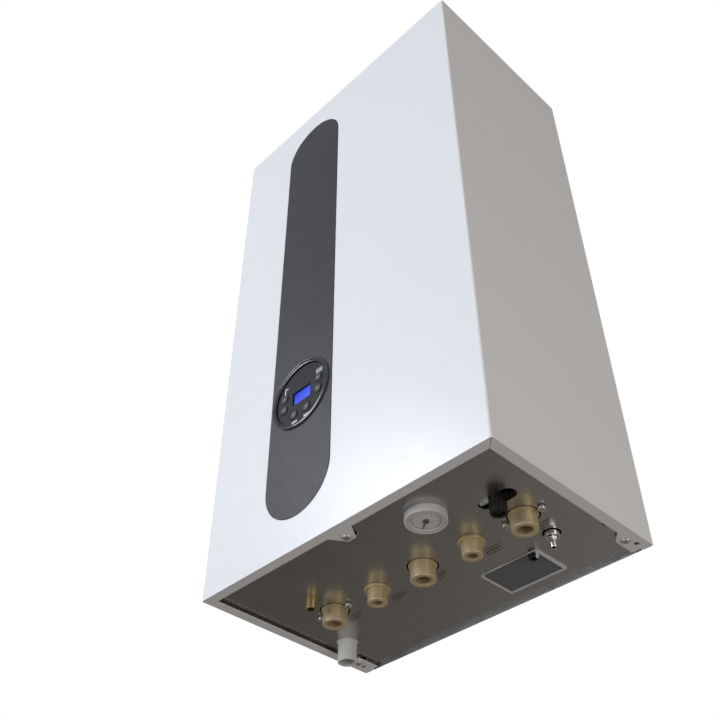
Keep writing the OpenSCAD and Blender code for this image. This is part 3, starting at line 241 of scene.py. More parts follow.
def dress(node, material, edge):
    """Gives a solid of the frame its finish, and rounds its sharp edges by edge millimetres."""
    piece = nodes[node]
    piece.data.materials.clear()
    piece.data.materials.append(material)
    weld = piece.modifiers.new("weld", "WELD")
    weld.merge_threshold = weld_reach * MM
    flat = piece.modifiers.new("flat", "DECIMATE")
    flat.decimate_type = "DISSOLVE"
    flat.angle_limit = flat_angle
    if edge:
        bevel = piece.modifiers.new("bevel", "BEVEL")
        bevel.width = edge * MM
        bevel.segments = 2
        bevel.limit_method = "ANGLE"
        bevel.angle_limit = sharp_angle
    normals = piece.modifiers.new("normals", "WEIGHTED_NORMAL")
    normals.keep_sharp = True


def galvanised():
    material = surface("galvanised_steel", zinc_colour, roughness=0.42, metallic=0.85)
    crystals = noise(material, scale=90, kind="ShaderNodeTexVoronoi")
    vary_roughness(material, crystals, low=0.34, high=0.50, from_low=0.0, from_high=0.8)
    vary_shade(material, noise(material, scale=14, detail=5), zinc_colour, dark=0.86, light=1.12)
    grain(material, noise(material, scale=900), depth=0.02)
    return material


zinc = galvanised()
for name in ("back_frame", "top_plate", "wall_bracket"):
    dress(name, zinc, zinc_edge)

# Bottom plate. Bright-finished sheet steel, punched for the tails, the gauge and the valves. It hardly
# scatters, so the brass and the gauge show in it as soft reflections.
plate_colour = (0.51, 0.50, 0.485)
plate_edge = 0.2


def plate_steel():
    material = surface("plate_steel", plate_colour, roughness=0.27, metallic=1.0)
    vary_roughness(material, noise(material, scale=30, detail=4), low=0.24, high=0.30)
    grain(material, noise(material, scale=700), depth=0.01)
    return material


dress("bottom_plate", plate_steel(), plate_edge)

# Pipe tails. Three three-quarter inch and two half inch ends of turned brass stand in a row through the
# plate. Each has a flat sealing end with broken edges, and a collar where it meets its water block.
brass_colour = (0.66, 0.55, 0.34)
tail_chamfer = 0.9
groove_depth = 0.45
groove_w = 1.0
groove_slope = 0.4
groove_round = 0.2
collar_round = 0.6
corner_steps = 4
least_gap = 1e-4


def rounded(outline):
    """Points of a closed outline of (x, y, corner radius), with its corners rounded."""
    corners = [Vector(point[:2]) for point in outline]
    points = []
    for i, corner in enumerate(corners):
        if len(outline[i]) < 3:
            points.append(corner)
            continue
        before = corners[i - 1] - corner
        after = corners[(i + 1) % len(corners)] - corner
        bend = before.angle(after) / 2
        reach = min(outline[i][2] / math.tan(bend), before.length / 2, after.length / 2)
        radius = reach * math.tan(bend)
        inward = (before.normalized() + after.normalized()).normalized()
        middle = corner + inward * radius / math.sin(bend)
        start = corner + before.normalized() * reach - middle
        end = corner + after.normalized() * reach - middle
        for step in range(corner_steps + 1):
            points.append(middle + start.lerp(end, step / corner_steps).normalized() * radius)
    return points


def turned(outline, steps=72):
    """A mesh turned round z from an outline of (radius, height, corner radius)."""
    points = rounded(outline)
    mesh = bmesh.new()
    rings = []
    for step in range(steps):
        angle = 2 * math.pi * step / steps
        rings.append([mesh.verts.new((point.x * math.cos(angle), point.x * math.sin(angle), point.y))
                      for point in points])
    for ring, following in zip(rings, rings[1:] + rings[:1]):
        for i in range(len(points)):
            j = (i + 1) % len(points)
            if points[i].x or points[j].x:
                mesh.faces.new((ring[i], ring[j], following[j], following[i]))
    bmesh.ops.remove_doubles(mesh, verts=mesh.verts, dist=least_gap)
    return mesh


WAYS = {
    "up": Matrix.Identity(4),
    "down": Matrix.Rotation(math.pi, 4, "X"),
    "front": Matrix.Rotation(math.pi / 2, 4, "X"),
    "right": Matrix.Rotation(math.pi / 2, 4, "Y"),
}


def shown(name, mesh, material, body, stands_for=(), place=(0, 0, 0), way="up"):
    """Makes a piece from a mesh in millimetres, and lets it ride on its body."""
    mesh.transform(Matrix.Scale(MM, 4) @ Matrix.Translation(place) @ WAYS[way])
    bmesh.ops.recalc_face_normals(mesh, faces=mesh.faces)
    data = bpy.data.meshes.new(name)
    mesh.to_mesh(data)
    mesh.free()
    data.materials.append(material)
    data.shade_smooth()
    data.set_sharp_from_angle(angle=sharp_angle)
    piece = bpy.data.objects.new(name, data)
    bpy.context.scene.collection.objects.link(piece)
    normals = piece.modifiers.new("normals", "WEIGHTED_NORMAL")
    normals.keep_sharp = True
    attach(piece, body)
    if stands_for:
        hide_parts(*stands_for)


def axis_of(node):
    """The place of a node's upright axis, in millimetres."""
    low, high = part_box(node)
    return (low.x + high.x) / 2 / MM, (low.y + high.y) / 2 / MM


def raw_brass():
    material = surface("raw_brass", brass_colour, roughness=0.42, metallic=0.45)
    vary_shade(material, noise(material, scale=60, detail=5), brass_colour, dark=0.90, light=1.05)
    vary_roughness(material, noise(material, scale=180), low=0.36, high=0.50)
    grain(material, noise(material, scale=350, stretch=(0.2, 0.2, 6)), depth=0.02)
    return material


brass = raw_brass()


def tail(node, radius, bore, collar, collar_low, collar_high):
    low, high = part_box(node)
    end, top = low.z / MM, high.z / MM
    groove_r = radius - groove_depth
    groove_low = collar_low - groove_w
    outline = [
        (bore, end, tail_chamfer / 2), (radius, end, tail_chamfer),
        (radius, groove_low - groove_slope, groove_round), (groove_r, groove_low, groove_round),
        (groove_r, collar_low, groove_round), (collar, collar_low, collar_round),
        (collar, collar_high, collar_round), (radius, collar_high, groove_round),
        (radius, top), (bore, top)]
    shown(node + "_turned", turned(outline), brass, "chassis", [node], (*axis_of(node), 0))


for node in ("flow_tail", "gas_tail", "return_tail"):
    tail(node, radius=13.2, bore=8.25, collar=14.85, collar_low=3, collar_high=8)
for node in ("hot_water_tail", "cold_water_tail"):
    tail(node, radius=10.5, bore=5.5, collar=14.1, collar_low=1, collar_high=4)

# Screws. Zinc-plated pan heads with a cross recess hold the water blocks to the plate, and three captive
# ones hold the casing's tabs.
screw_colour = (0.72, 0.71, 0.70)
block_head_h = 2.4
head_round = 1.3
cross_len = 4.4
cross_w = 1.0
cross_depth = 1.1
stem_overlap = 0.2


def block(low, high):
    """A plain block between two corners."""
    mesh = bmesh.new()
    bmesh.ops.create_cube(mesh, size=1)
    low, high = Vector(low), Vector(high)
    for vert in mesh.verts:
        vert.co = (low + high) / 2 + Vector(a * b for a, b in zip(vert.co, high - low))
    return mesh


def carve(mesh, *tools):
    """Cuts the tool meshes out of a mesh, and returns what is left."""
    stages = []
    for each in (mesh, *tools):
        bmesh.ops.recalc_face_normals(each, faces=each.faces)
        data = bpy.data.meshes.new("stock")
        each.to_mesh(data)
        each.free()
        item = bpy.data.objects.new("stock", data)
        bpy.context.scene.collection.objects.link(item)
        stages.append(item)
    stock = stages[0]
    for item in stages[1:]:
        cut = stock.modifiers.new("cut", "BOOLEAN")
        cut.operation = "DIFFERENCE"
        cut.solver = "EXACT"
        cut.object = item
    depsgraph = bpy.context.evaluated_depsgraph_get()
    left = bmesh.new()
    left.from_object(stock, depsgraph)
    for item in stages:
        bpy.data.objects.remove(item)
    return left


def joined(*meshes):
    whole = bmesh.new()
    for mesh in meshes:
        data = bpy.data.meshes.new("part")
        mesh.to_mesh(data)
        mesh.free()
        whole.from_mesh(data)
        bpy.data.meshes.remove(data)
    return whole


def zinc_screw():
    material = surface("zinc_screw", screw_colour, roughness=0.36, metallic=1.0)
    vary_roughness(material, noise(material, scale=500), low=0.30, high=0.44)
    return material


screw_metal = zinc_screw()


def screw_head(radius, height):
    """A pan head that hangs down from z = 0, with its cross recess."""
    head = turned([(0, 0), (radius, 0), (radius, -height, head_round), (0, -height)], steps=40)
    recess = [block((-x / 2, -y / 2, -2 * height), (x / 2, y / 2, cross_depth - height))
              for x, y in ((cross_len, cross_w), (cross_w, cross_len))]
    return carve(head, *recess)


def screw_places(node):
    """The places of a node's separate solids, as (x, y, lowest z) in millimetres."""
    mesh = bmesh.new()
    mesh.from_mesh(nodes[node].data)
    bmesh.ops.remove_doubles(mesh, verts=mesh.verts, dist=weld_reach * MM)
    left = set(mesh.verts)
    found = []
    while left:
        island, edge = set(), [left.pop()]
        while edge:
            vert = edge.pop()
            island.add(vert)
            for link in vert.link_edges:
                other = link.other_vert(vert)
                if other in left:
                    left.remove(other)
                    edge.append(other)
        xs, ys, zs = zip(*[vert.co for vert in island])
        found.append(((min(xs) + max(xs)) / 2 / MM, (min(ys) + max(ys)) / 2 / MM, min(zs) / MM))
    mesh.free()
    return sorted(found)


def screws(node, body, radius, height, shank, clip_radius=0, clip_height=0):
    """The node's screws again, each with a domed head, its recess and, for a captive one, its clip."""
    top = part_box(node)[1].z / MM
    pieces = []
    for x, y, low in screw_places(node):
        head = screw_head(radius, height)
        head.transform(Matrix.Translation((x, y, low + height)))
        stem_low = low + height - stem_overlap
        stem = [(0, stem_low), (shank, stem_low), (shank, top - clip_height)]
        if clip_radius:
            stem += [(clip_radius, top - clip_height), (clip_radius, top)]
        stem = turned(stem + [(0, top)], steps=24)
        stem.transform(Matrix.Translation((x, y, 0)))
        pieces += [head, stem]
    shown(node + "_cut", joined(*pieces), screw_metal, body, [node])


screws("block_screws", "chassis", radius=4, height=block_head_h, shank=2)
screws("casing_screws", "casing", radius=4.5, height=2, shank=1.9, clip_radius=4, clip_height=1.1)

# Casing. Folded sheet steel under a white powder coat, whose skin has the fine orange peel of baked paint.
# The two lips under it are open at the front corners, where the sheet was slit before it was bent.
paint_colour = (0.80, 0.81, 0.83)
casing_edge = 0.7


def powder_coat():
    material = surface("powder_coat", paint_colour, roughness=0.22)
    vary_shade(material, noise(material, scale=3), paint_colour, dark=0.985, light=1.0)
    vary_roughness(material, noise(material, scale=40), low=0.18, high=0.26)
    grain(material, noise(material, scale=420, detail=2), depth=0.05)
    return material


dress("casing", powder_coat(), casing_edge)

# Strip. A flat moulding of dark grey plastic with round ends and softened edges, let into the front
# panel. Its surface is silk matt.
strip_colour = (0.029, 0.028, 0.031)
strip_edge = 0.35


def moulded(name, colour, roughness, bumps=900, depth=0.01, ior=1.5):
    """Moulded plastic with a fine spark-eroded skin and slight clouds in its shade."""
    material = surface(name, colour, roughness, ior=ior)
    vary_shade(material, noise(material, scale=25, detail=4), colour, dark=0.92, light=1.06)
    vary_roughness(material, noise(material, scale=120), low=roughness - 0.05, high=roughness + 0.05)
    grain(material, noise(material, scale=bumps), depth)
    return material


dress("fascia_strip", moulded("silk_grey_plastic", strip_colour, roughness=0.38, ior=1.44), strip_edge)

# Ring. A round moulded bezel of glossy black plastic round the controls: a thick rounded rim, a groove,
# a thin inner ring, and a sleeve that clips into the strip.
ring_colour = (0.012, 0.012, 0.013)
skirt_h, skirt_round = 0.9, 0.5
brow_in, brow_drop, brow_round = 1.2, 0.2, 1.2
crest_in, crest_round = 2.8, 1.0
groove_out, groove_in, groove_drop = 3.9, 4.3, 1.5
groove_out_round, groove_in_round = 0.4, 0.3
inner_in, inner_drop, inner_round = 4.6, 1.1, 0.2
hole_in, hole_drop, hole_round = 5.5, 1.3, 0.3
sleeve_in = 4.0


def front_of(node):
    """The middle of a node's front, in millimetres."""
    low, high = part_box(node)
    return (low.x + high.x) / 2 / MM, low.y / MM, (low.z + high.z) / 2 / MM


strip_front = front_of("fascia_strip")[1]
ring_low, ring_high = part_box("bezel_ring")
ring_x, ring_front, ring_z = front_of("bezel_ring")
ring_r = (ring_high.x - ring_low.x) / 2 / MM
ring_rise = strip_front - ring_front
ring_sleeve = ring_high.y / MM - strip_front
ring_outline = [
    (ring_r, 0), (ring_r, skirt_h, skirt_round), (ring_r - brow_in, ring_rise - brow_drop, brow_round),
    (ring_r - crest_in, ring_rise, crest_round),
    (ring_r - groove_out, ring_rise - groove_drop, groove_out_round),
    (ring_r - groove_in, ring_rise - groove_drop, groove_in_round),
    (ring_r - inner_in, ring_rise - inner_drop, inner_round),
    (ring_r - hole_in, ring_rise - hole_drop, hole_round), (ring_r - hole_in, -ring_sleeve),
    (ring_r - sleeve_in, -ring_sleeve), (ring_r - sleeve_in, 0)]
gloss_black = moulded("gloss_black_plastic", ring_colour, roughness=0.12, bumps=60, depth=0.004, ior=1.9)
shown("bezel_ring_turned", turned(ring_outline, steps=128), gloss_black, "casing",
      ["bezel_ring"], (ring_x, strip_front, ring_z), "front")

# Control face. A moulded dish of matt dark plastic with six holes and a window. Its printed signs are a
# radiator and a tap above the upper buttons, and a bar under each of the two lower ones. Their places
# count from the ring's middle.
dish_colour = (0.014, 0.0135, 0.016)
dish_edge = 0.25
print_colour = (0.56, 0.57, 0.60)
print_t = 0.06
print_round = 0.2
radiator_x, radiator_z = 28.8, 17.6
rib_count, rib_pitch, rib_w, rib_len = 5, 2.1, 1.5, 6.4
pipe_len, pipe_w, pipe_out = 9.9, 0.9, 1.8
tap_x, tap_z = -27.9, 17.4
tap_w, tap_len = 2.0, 7.4
spout_len, spout_w, spout_right, spout_up = 5.6, 1.7, 1.8, 3.6
handle_len, handle_w, handle_up = 3.6, 0.9, 5.6
low_bars = ((-9.6, 8.8), (10.4, 9.6))
low_bar_z, low_bar_w = -35.6, 2.9


def prism(outline, low, high):
    """A mesh raised from low to high over a closed outline of (x, y) points."""
    mesh = bmesh.new()
    base = [mesh.verts.new((x, y, low)) for x, y in outline]
    top = [mesh.verts.new((x, y, high)) for x, y in outline]
    mesh.faces.new(base[::-1])
    mesh.faces.new(top)
    for i in range(len(base)):
        j = (i + 1) % len(base)
        mesh.faces.new((base[i], base[j], top[j], top[i]))
    return mesh


def oblong(left, right, front, back, radius):
    """The outline of an oblong with rounded corners."""
    return rounded([(x, y, radius) for x, y in ((left, front), (right, front), (right, back), (left, back))])


def flat_bar(x, z, width, height):
    """A flat printed bar round the place (x, z)."""
    bar = prism(oblong(-width / 2, width / 2, -height / 2, height / 2, print_round), 0, print_t)
    bar.transform(Matrix.Translation((x, z, 0)))
    return bar


face_front = front_of("control_face")[1]
matt_dark = moulded("matt_dark_plastic", dish_colour, roughness=0.55, bumps=1500, ior=1.36)
dress("control_face", matt_dark, dish_edge)
ink = moulded("grey_ink", print_colour, roughness=0.5, bumps=400, depth=0.002)
radiator = [flat_bar(radiator_x + (i - (rib_count - 1) / 2) * rib_pitch, radiator_z, rib_w, rib_len)
            for i in range(rib_count)]
radiator += [flat_bar(radiator_x, radiator_z + side * pipe_out, pipe_len, pipe_w) for side in (1, -1)]
tap = [flat_bar(tap_x, tap_z, tap_w, tap_len),
       flat_bar(tap_x + spout_right, tap_z + spout_up, spout_len, spout_w),
       flat_bar(tap_x, tap_z + handle_up, handle_len, handle_w)]
bars = [flat_bar(x, low_bar_z, length, low_bar_w) for x, length in low_bars]
shown("face_signs", joined(*radiator, *tap, *bars), ink, "chassis",
      place=(ring_x, face_front, ring_z), way="front")

# Buttons. Six caps of soft dark plastic whose crowns stand proud of the dish, each with a printed sign:
# a plus on the two upper side ones, a minus below them, and a dot on the two lower ones.
cap_colour = (0.020, 0.020, 0.022)
cap_print = (0.42, 0.42, 0.44)
cap_edge = 0.5
crown_r, crown_h, crown_round = 5.1, 0.8, 0.4
crown_sunk = 0.3
mark_len, mark_w, dot_w = 3.6, 0.9, 1.8
soft_cap = moulded("soft_cap_plastic", cap_colour, roughness=0.42, bumps=1200)
cap_ink = moulded("cap_ink", cap_print, roughness=0.5, bumps=400, depth=0.002)
BUTTON_SIGNS = {"left_up": "plus", "left_down": "minus", "right_up": "plus", "right_down": "minus",
                "low_left": "dot", "low_right": "dot"}
SIGN_BARS = {"plus": [(mark_len, mark_w), (mark_w, mark_len)], "minus": [(mark_len, mark_w)],
             "dot": [(dot_w, dot_w)]}
for key, sign in BUTTON_SIGNS.items():
    node = "button_" + key
    dress(node, soft_cap, cap_edge)
    x, front, z = front_of(node)
    crown = turned([(0, -crown_sunk), (crown_r, -crown_sunk), (crown_r, crown_h, crown_round), (0, crown_h)],
                   steps=48)
    shown(node + "_crown", crown, soft_cap, key + "_button",
          place=(x, front, z), way="front")
    marks = [flat_bar(0, 0, width, height) for width, height in SIGN_BARS[sign]]
    shown(node + "_sign", joined(*marks), cap_ink, key + "_button",
          place=(x, front - crown_h, z), way="front")

# Display. A backlit window of blue liquid crystal, set back behind the dish, with the faint unlit segments
# of two figures and of two small signs. Its glow is darker towards the upper left, which is painted shade
# of the recess's edge.
window_colour = (0.012, 0.02, 0.12)
painted_shade_glow = (0.0, 0.016, 0.62)
glow_light = (0.08, 0.13, 0.90)
painted_shade_way = (0.35, 0, -1)
glow_full = 0.8
glow_strength = 1.0
window_edge = 0.15
segment_colour = (0.02, 0.03, 0.25)
figure_x = (-6.0, 0.0)
segment_w, level_len, upright_len = 0.5, 2.6, 2.4
level_z, upright_x, upright_z = 3.2, 1.7, 1.6
small_x, small_z = 8.0, (-3.0, 2.6)
small_len, small_w = 3.0, 0.6


def lit_window():
    material = surface("lit_window", window_colour, roughness=0.2, ior=1.25)
    window_low, window_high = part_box("display")
    tree = material.node_tree
    shader = tree.nodes["Principled BSDF"]
    shader.inputs["Emission Strength"].default_value = glow_strength
    place = tree.nodes.new("ShaderNodeTexCoord")
    slope = tree.nodes.new("ShaderNodeVectorMath")
    slope.operation = "DOT_PRODUCT"
    slope.inputs[1].default_value = painted_shade_way
    span = tree.nodes.new("ShaderNodeMapRange")
    span.inputs["From Min"].default_value = Vector((window_low.x, 0, window_high.z)).dot(Vector(painted_shade_way))
    span.inputs["From Max"].default_value = Vector((window_high.x, 0, window_low.z)).dot(Vector(painted_shade_way))
    # The ramp darkens the glow towards the window's upper left: painted shade of the recess's edge.
    ramp = tree.nodes.new("ShaderNodeValToRGB")
    ramp.color_ramp.elements[0].color = (*painted_shade_glow, 1)
    ramp.color_ramp.elements[1].position = glow_full
    ramp.color_ramp.elements[1].color = (*glow_light, 1)
    tree.links.new(place.outputs["Object"], slope.inputs[0])
    tree.links.new(slope.outputs["Value"], span.inputs["Value"])
    tree.links.new(span.outputs["Result"], ramp.inputs["Fac"])
    tree.links.new(ramp.outputs["Color"], shader.inputs["Emission Color"])
    grain(material, noise(material, scale=500), depth=0.002)
    return material


dress("display", lit_window(), window_edge)
segments = []
for x in figure_x:
    segments += [flat_bar(x, z, level_len, segment_w) for z in (-level_z, 0, level_z)]
    segments += [flat_bar(x + side, z, segment_w, upright_len)
                 for side in (-upright_x, upright_x) for z in (-upright_z, upright_z)]
segments += [flat_bar(small_x, z, small_len, small_w) for z in small_z]
segment_ink = moulded("segment_ink", segment_colour, roughness=0.4, depth=0.002)
shown("display_segments", joined(*segments), segment_ink, "chassis",
      place=front_of("display"), way="front")

# Pressure gauge. A round case of white plastic with a rolled rim, whose face looks down, with a printed
# scale and figures and a dark needle on a hub. The scale runs over three quarters of a turn.
gauge_colour = (0.60, 0.595, 0.60)
dial_colour = (0.74, 0.73, 0.72)
needle_colour = (0.10, 0.095, 0.095)
scale_colour = (0.30, 0.30, 0.31)
case_edge, dial_edge, needle_edge = 1.4, 0.2, 0.15
rim_w, rim_drop, rim_round, rim_inner_round = 2.1, 0.4, 1.0, 0.3
rim_h, rim_sunk, rim_foot_w, rim_clear = 2.2, 0.4, 1.8, 0.02
scale_start, scale_turn = -135, 270
scale_parts, figure_every = 16, 4
scale_r, figure_r, figure_h = 12.9, 8.8, 2.6
long_mark, short_mark = (0.45, 2.0), (0.3, 1.2)
gauge_white = moulded("warm_white_plastic", gauge_colour, roughness=0.38, bumps=500)
dress("gauge_case", gauge_white, case_edge)
dress("gauge_dial", moulded("dial_white", dial_colour, roughness=0.45, bumps=700), dial_edge)
dress("gauge_needle", moulded("needle_grey", needle_colour, roughness=0.4), needle_edge)
gauge_low, gauge_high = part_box("gauge_case")
rim_r = (gauge_high.x - gauge_low.x) / 2 / MM - rim_clear
gauge_end = gauge_low.z / MM
rolled_rim = [
    (rim_r, gauge_end + rim_h), (rim_r, gauge_end - rim_drop, rim_round),
    (rim_r - rim_w, gauge_end - rim_drop, rim_inner_round), (rim_r - rim_w, gauge_end + rim_sunk),
    (rim_r - rim_foot_w, gauge_end + rim_h)]
shown("gauge_rim", turned(rolled_rim, steps=96), gauge_white, "chassis",
      place=(*axis_of("gauge_dial"), 0))


def figure(text, size):
    """A flat mesh of a figure, raised by the thickness of a print."""
    data = bpy.data.curves.new("figure", "FONT")
    data.body = text
    data.size = size
    data.align_x = "CENTER"
    data.align_y = "CENTER"
    data.extrude = print_t / 2
    item = bpy.data.objects.new("figure", data)
    mesh = bmesh.new()
    mesh.from_mesh(item.to_mesh())
    bpy.data.objects.remove(item)
    bpy.data.curves.remove(data)
    return mesh


scale_marks = []
for i in range(scale_parts + 1):
    angle = math.radians(scale_start + i * scale_turn / scale_parts)
    width, length = short_mark if i % figure_every else long_mark
    mark = flat_bar(0, scale_r - length / 2, width, length)
    mark.transform(Matrix.Rotation(-angle, 4, "Z"))
    scale_marks.append(mark)
    if i % figure_every == 0:
        digit = figure(str(i // figure_every), figure_h)
        digit.transform(Matrix.Translation((figure_r * math.sin(angle), figure_r * math.cos(angle), 0)))
        scale_marks.append(digit)
shown("gauge_scale", joined(*scale_marks), moulded("scale_ink", scale_colour, roughness=0.5, depth=0.002),
      "chassis", place=(*axis_of("gauge_dial"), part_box("gauge_dial")[0].z / MM), way="down")

# Pipe signs. Two lines of dark print on the bottom plate behind each tail, shown as plain bars. Each
# line starts a little left of its tail's axis.
sign_colour = (0.035, 0.033, 0.032)
line_w = 1.1
first_left, first_back = 2, 24.3
second_left, second_back = 4, 28.9
SIGN_LINES = (("flow_tail", 19, 14), ("hot_water_tail", 22, 16), ("gas_tail", 12, 9),
              ("cold_water_tail", 19, 18), ("return_tail", 16, 8))
plate_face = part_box("block_screws")[0].z / MM + block_head_h
signs = []
for node, first, second in SIGN_LINES:
    x, y = axis_of(node)
    signs.append(flat_bar(x - first_left + first / 2, -y - first_back, first, line_w))
    signs.append(flat_bar(x - second_left + second / 2, -y - second_back, second, line_w))
shown("pipe_signs", joined(*signs), moulded("sign_ink", sign_colour, roughness=0.5, depth=0.002),
      "chassis", place=(0, 0, plate_face), way="down")

# Valves. The filling valve, the drain cock and its spindle with the hose nozzle are chrome-plated brass.
# The filling valve's plug has two chrome hexagons whose near-white colour is a painted glint, and its
# fluted knob is black plastic like the gland.
chrome_colour = (0.68, 0.68, 0.69)
# The plug hexagons' near-white colour is a painted glint of their chrome.
painted_glint_colour = (0.90, 0.89, 0.87)
knob_colour = (0.010, 0.010, 0.011)
chrome_edge, knob_edge, gland_edge = 0.25, 0.35, 0.3
hexagon_round = 0.5
plug_r, plug_left, plug_up = 6.6, 11.6, 6
outer_nut, inner_nut = (0, 4.4), (6.2, 11)
spindle_hexagon_r, spindle_hexagon = 5.1, (-5, 0.5)
nozzle_bore, nozzle_r, nozzle_neck, bore_depth = 2.1, 3.0, 3.3, 7.5
first_barb_r, first_barb, first_back_edge = 3.7, 2.2, 2.4
second_barb_r, second_barb, second_back_edge = 3.8, 5.0, 5.4
bore_round, mouth_round, barb_round, back_round = 0.2, 0.5, 0.3, 0.2
neck_end, neck_step = -5, 0.2
lip_bore, lip_r, lip_low, lip_high = 5.6, 7.9, -0.8, 1.3
lip_bore_round, lip_round = 0.4, 1.0


def chromed(name, roughness):
    material = surface(name, chrome_colour, roughness, metallic=1.0)
    vary_roughness(material, noise(material, scale=80), low=roughness - 0.04, high=roughness + 0.08)
    grain(material, noise(material, scale=200), depth=0.006)
    return material


# Near-white and only half metallic so that the chrome plug looks bright: a painted glint.
def nickel_with_painted_glint():
    material = surface("nickel_with_painted_glint", painted_glint_colour, roughness=0.35, metallic=0.4)
    vary_roughness(material, noise(material, scale=80), low=0.30, high=0.42)
    return material


def on_circle(radius, degrees):
    """The place (x, y) at an angle on a circle."""
    angle = math.radians(degrees)
    return radius * math.cos(angle), radius * math.sin(angle)


def hexagon(radius, corner_radius):
    """The rounded outline of a hexagon, by the distance of its corners from the middle."""
    return rounded([(*on_circle(radius, degrees), corner_radius) for degrees in range(0, 360, 60)])


chrome = chromed("chrome_plate", roughness=0.12)
for node in ("fill_valve", "drain_cock"):
    dress(node, chrome, chrome_edge)
plug_nuts = [prism(hexagon(plug_r, hexagon_round), *nut) for nut in (outer_nut, inner_nut)]
plug_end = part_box("fill_knob")[0].x / MM - plug_left
plug_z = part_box("fill_valve")[0].z / MM + plug_up
shown("filling_plug_nuts", joined(*plug_nuts), nickel_with_painted_glint(), "chassis",
      place=(plug_end, axis_of("fill_knob")[1], plug_z), way="right")
spindle_low, spindle_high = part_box("drain_spindle")
end, top = spindle_low.z / MM, spindle_high.z / MM
nozzle = [
    (nozzle_bore, end, bore_round), (nozzle_r, end, mouth_round),
    (first_barb_r, end + first_barb, barb_round), (nozzle_r, end + first_back_edge, back_round),
    (second_barb_r, end + second_barb, barb_round), (nozzle_neck, end + second_back_edge, back_round),
    (nozzle_neck, neck_end), (nozzle_r, neck_end + neck_step), (nozzle_r, top), (0, top),
    (0, end + bore_depth), (nozzle_bore, end + bore_depth)]
spindle = joined(prism(hexagon(spindle_hexagon_r, hexagon_round), *spindle_hexagon), turned(nozzle, steps=48))
shown("drain_nozzle", spindle, chrome, "drain_turner", ["drain_spindle"],
      (*axis_of("drain_spindle"), 0))
drain_lip = [(lip_bore, lip_high), (lip_bore, lip_low, lip_bore_round), (lip_r, lip_low, lip_round),
             (lip_r, lip_high)]
shown("drain_cock_lip", turned(drain_lip, steps=64), chrome, "chassis",
      place=(*axis_of("drain_cock"), 0))
knob_black = moulded("knob_black_plastic", knob_colour, roughness=0.40)
dress("fill_knob", knob_black, knob_edge)
dress("cable_gland", knob_black, gland_edge)

# Label frame. A thin white plate with turned-down edges under the bottom plate. It holds a dark glossy
# sleeve, which the cable gland passes, and has a hanging leg at its front corner.
label_colour = (0.60, 0.61, 0.62)
label_edge = 0.2
sleeve_colour = (0.13, 0.13, 0.15)
sleeve_t = 0.4
sleeve_under = 1.35
sleeve_round = 0.5
side_in, leg_in, front_in = 2.4, 2.3, 0.2
hole_r = 5.4
hole_low, hole_high = 1, 2
dress("label_frame", moulded("label_white_plastic", label_colour, roughness=0.30, bumps=300), label_edge)
frame_low, frame_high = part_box("label_frame")
sleeve_low = frame_high.z / MM - sleeve_under
sleeve_outline = oblong(frame_low.x / MM + side_in, frame_high.x / MM - leg_in, frame_low.y / MM + front_in,
                        frame_high.y / MM - side_in, sleeve_round)
film = prism(sleeve_outline, sleeve_low, sleeve_low + sleeve_t)
hole = turned([(0, sleeve_low - hole_low), (hole_r, sleeve_low - hole_low), (hole_r, sleeve_low + hole_high),
               (0, sleeve_low + hole_high)], steps=48)
hole.transform(Matrix.Translation((*axis_of("cable_gland"), 0)))
sleeve_film = moulded("label_sleeve_film", sleeve_colour, roughness=0.16, bumps=80, depth=0.004)
shown("label_sleeve", carve(film, hole), sleeve_film, "chassis")

# Water side. Cast brass blocks and relief valve, copper pipes, a stack of brazed stainless plates, a red
# enamelled expansion vessel, and the pump of painted iron with its black motor. The condensate trap, the
# flue and the three-way valve's motor are natural white plastic.
cast_brass_colour = (0.60, 0.47, 0.24)
copper_colour = (0.72, 0.36, 0.22)
steel_colour = (0.55, 0.55, 0.54)
enamel_colour = (0.40, 0.022, 0.018)
red_knob_colour = (0.45, 0.02, 0.02)
iron_colour = (0.10, 0.10, 0.105)
motor_colour = (0.022, 0.022, 0.024)
natural_colour = (0.66, 0.66, 0.64)
impeller_colour = (0.30, 0.30, 0.29)


def cast_metal(name, colour, roughness, metallic, bumps=260, depth=0.12):
    """Sand-cast or die-cast metal with a rough skin and clouded shade."""
    material = surface(name, colour, roughness, metallic=metallic)
    vary_shade(material, noise(material, scale=35, detail=6), colour, dark=0.75, light=1.15)
    vary_roughness(material, noise(material, scale=90), low=roughness - 0.08, high=roughness + 0.1)
    grain(material, noise(material, scale=bumps, detail=5), depth)
    return material


def drawn_metal(name, colour, roughness, stretch=(1, 1, 1)):
    """Drawn or rolled metal, with slight tarnish and, if stretched, streaks along its working direction."""
    material = surface(name, colour, roughness, metallic=1.0)
    vary_shade(material, noise(material, scale=12, detail=5), colour, dark=0.72, light=1.12)
    vary_roughness(material, noise(material, scale=160, stretch=stretch), low=roughness - 0.08,
                   high=roughness + 0.10)
    grain(material, noise(material, scale=300, stretch=stretch), depth=0.01)
    return material


cast_brass = cast_metal("cast_brass", cast_brass_colour, roughness=0.45, metallic=1.0)
copper = drawn_metal("drawn_copper", copper_colour, roughness=0.28)
stainless = drawn_metal("rolled_stainless", steel_colour, roughness=0.30, stretch=(1, 1, 8))
iron = cast_metal("painted_iron", iron_colour, roughness=0.5, metallic=0.2)
enamel = moulded("red_enamel", enamel_colour, roughness=0.25, bumps=120, depth=0.02)
for node in ("return_block", "flow_block", "relief_valve"):
    dress(node, cast_brass, edge=0.8)
for node in ("water_pipes", "gas_pipes"):
    dress(node, copper, edge=0)
dress("plate_exchanger", stainless, edge=0.4)
dress("expansion_vessel", enamel, edge=4.0)
dress("relief_knob", moulded("red_plastic", red_knob_colour, roughness=0.35), edge=0.6)
dress("pump_volute", iron, edge=1.2)
motor_black = moulded("motor_black_plastic", motor_colour, roughness=0.45)
for node in ("pump_motor", "fan_motor", "air_silencer"):
    dress(node, motor_black, edge=1.0)
white_plastic = moulded("natural_white_plastic", natural_colour, roughness=0.42, bumps=400)
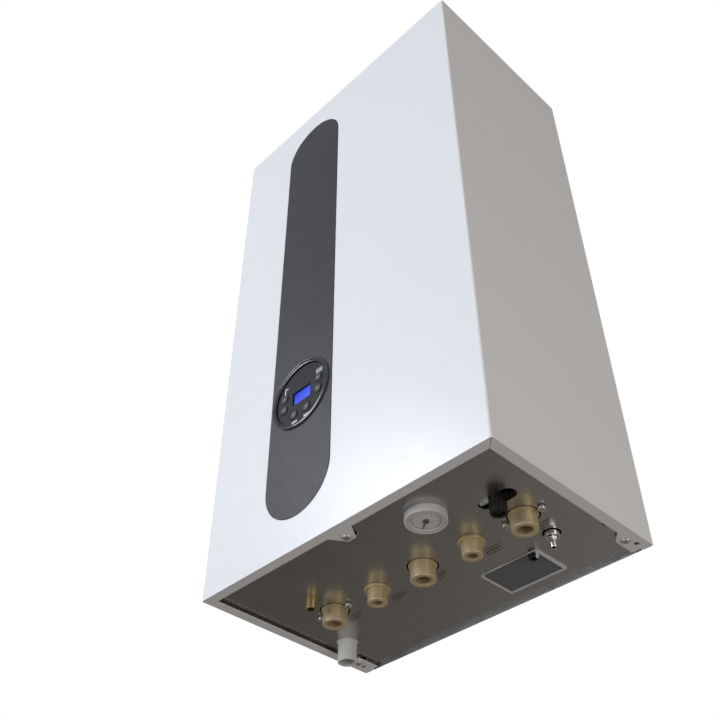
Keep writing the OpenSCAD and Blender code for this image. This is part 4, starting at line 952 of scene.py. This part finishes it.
for node in ("valve_motor", "condensate_trap", "flue_duct", "flue_collar"):
    dress(node, white_plastic, edge=0.5)
dress("pump_impeller", moulded("impeller_plastic", impeller_colour, roughness=0.45), edge=0.3)

# Heat cell and gas side. A stainless drum and coil behind a die-cast aluminium door, fan and duct, with
# two white ceramic electrodes. Six nuts on studs hold the door.
aluminium_colour = (0.56, 0.57, 0.58)
ceramic_colour = (0.72, 0.71, 0.68)
nut_r, nut_h, nut_round = 5, 4.5, 0.4
stud_r, stud_h, stud_round = 2.5, 7.5, 0.5
nut_seat = 16
nut_inset = 5.5
nut_angles = (50, 95, 140, 220, 265, 310)
aluminium = cast_metal("die_cast_aluminium", aluminium_colour, roughness=0.40, metallic=1.0, bumps=600,
                       depth=0.05)
for node in ("gas_valve", "gas_air_mixer", "fan_housing", "mixture_duct", "burner_door"):
    dress(node, aluminium, edge=1.0)
for node in ("exchanger_drum", "exchanger_coil", "burner_tube", "fan_impeller"):
    dress(node, stainless, edge=0.3)
door_low, door_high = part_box("burner_door")
nut_ring = (door_high.z - door_low.z) / 2 / MM - nut_inset
nuts = []
for degrees in nut_angles:
    nut = prism(hexagon(nut_r, nut_round), 0, nut_h)
    stud = turned([(0, 0), (stud_r, 0), (stud_r, stud_h, stud_round), (0, stud_h)], steps=24)
    for piece in (nut, stud):
        piece.transform(Matrix.Translation((*on_circle(nut_ring, degrees), 0)))
    nuts += [nut, stud]
door_front, door_z = front_of("burner_door")[1:]
shown("door_nuts", joined(*nuts), screw_metal, "chassis",
      place=(0, door_front + nut_seat, door_z), way="front")
dress("electrodes", moulded("glazed_ceramic", ceramic_colour, roughness=0.22, bumps=80), edge=0.2)

# Control box and its board, behind the front panel. The box is moulded black plastic, and the board in
# it is green resin.
box_colour = (0.028, 0.028, 0.030)
board_colour = (0.02, 0.11, 0.05)
dress("control_box", moulded("box_black_plastic", box_colour, roughness=0.5, bumps=500), edge=1.2)
dress("circuit_board", moulded("board_green", board_colour, roughness=0.35, bumps=200), edge=0.15)
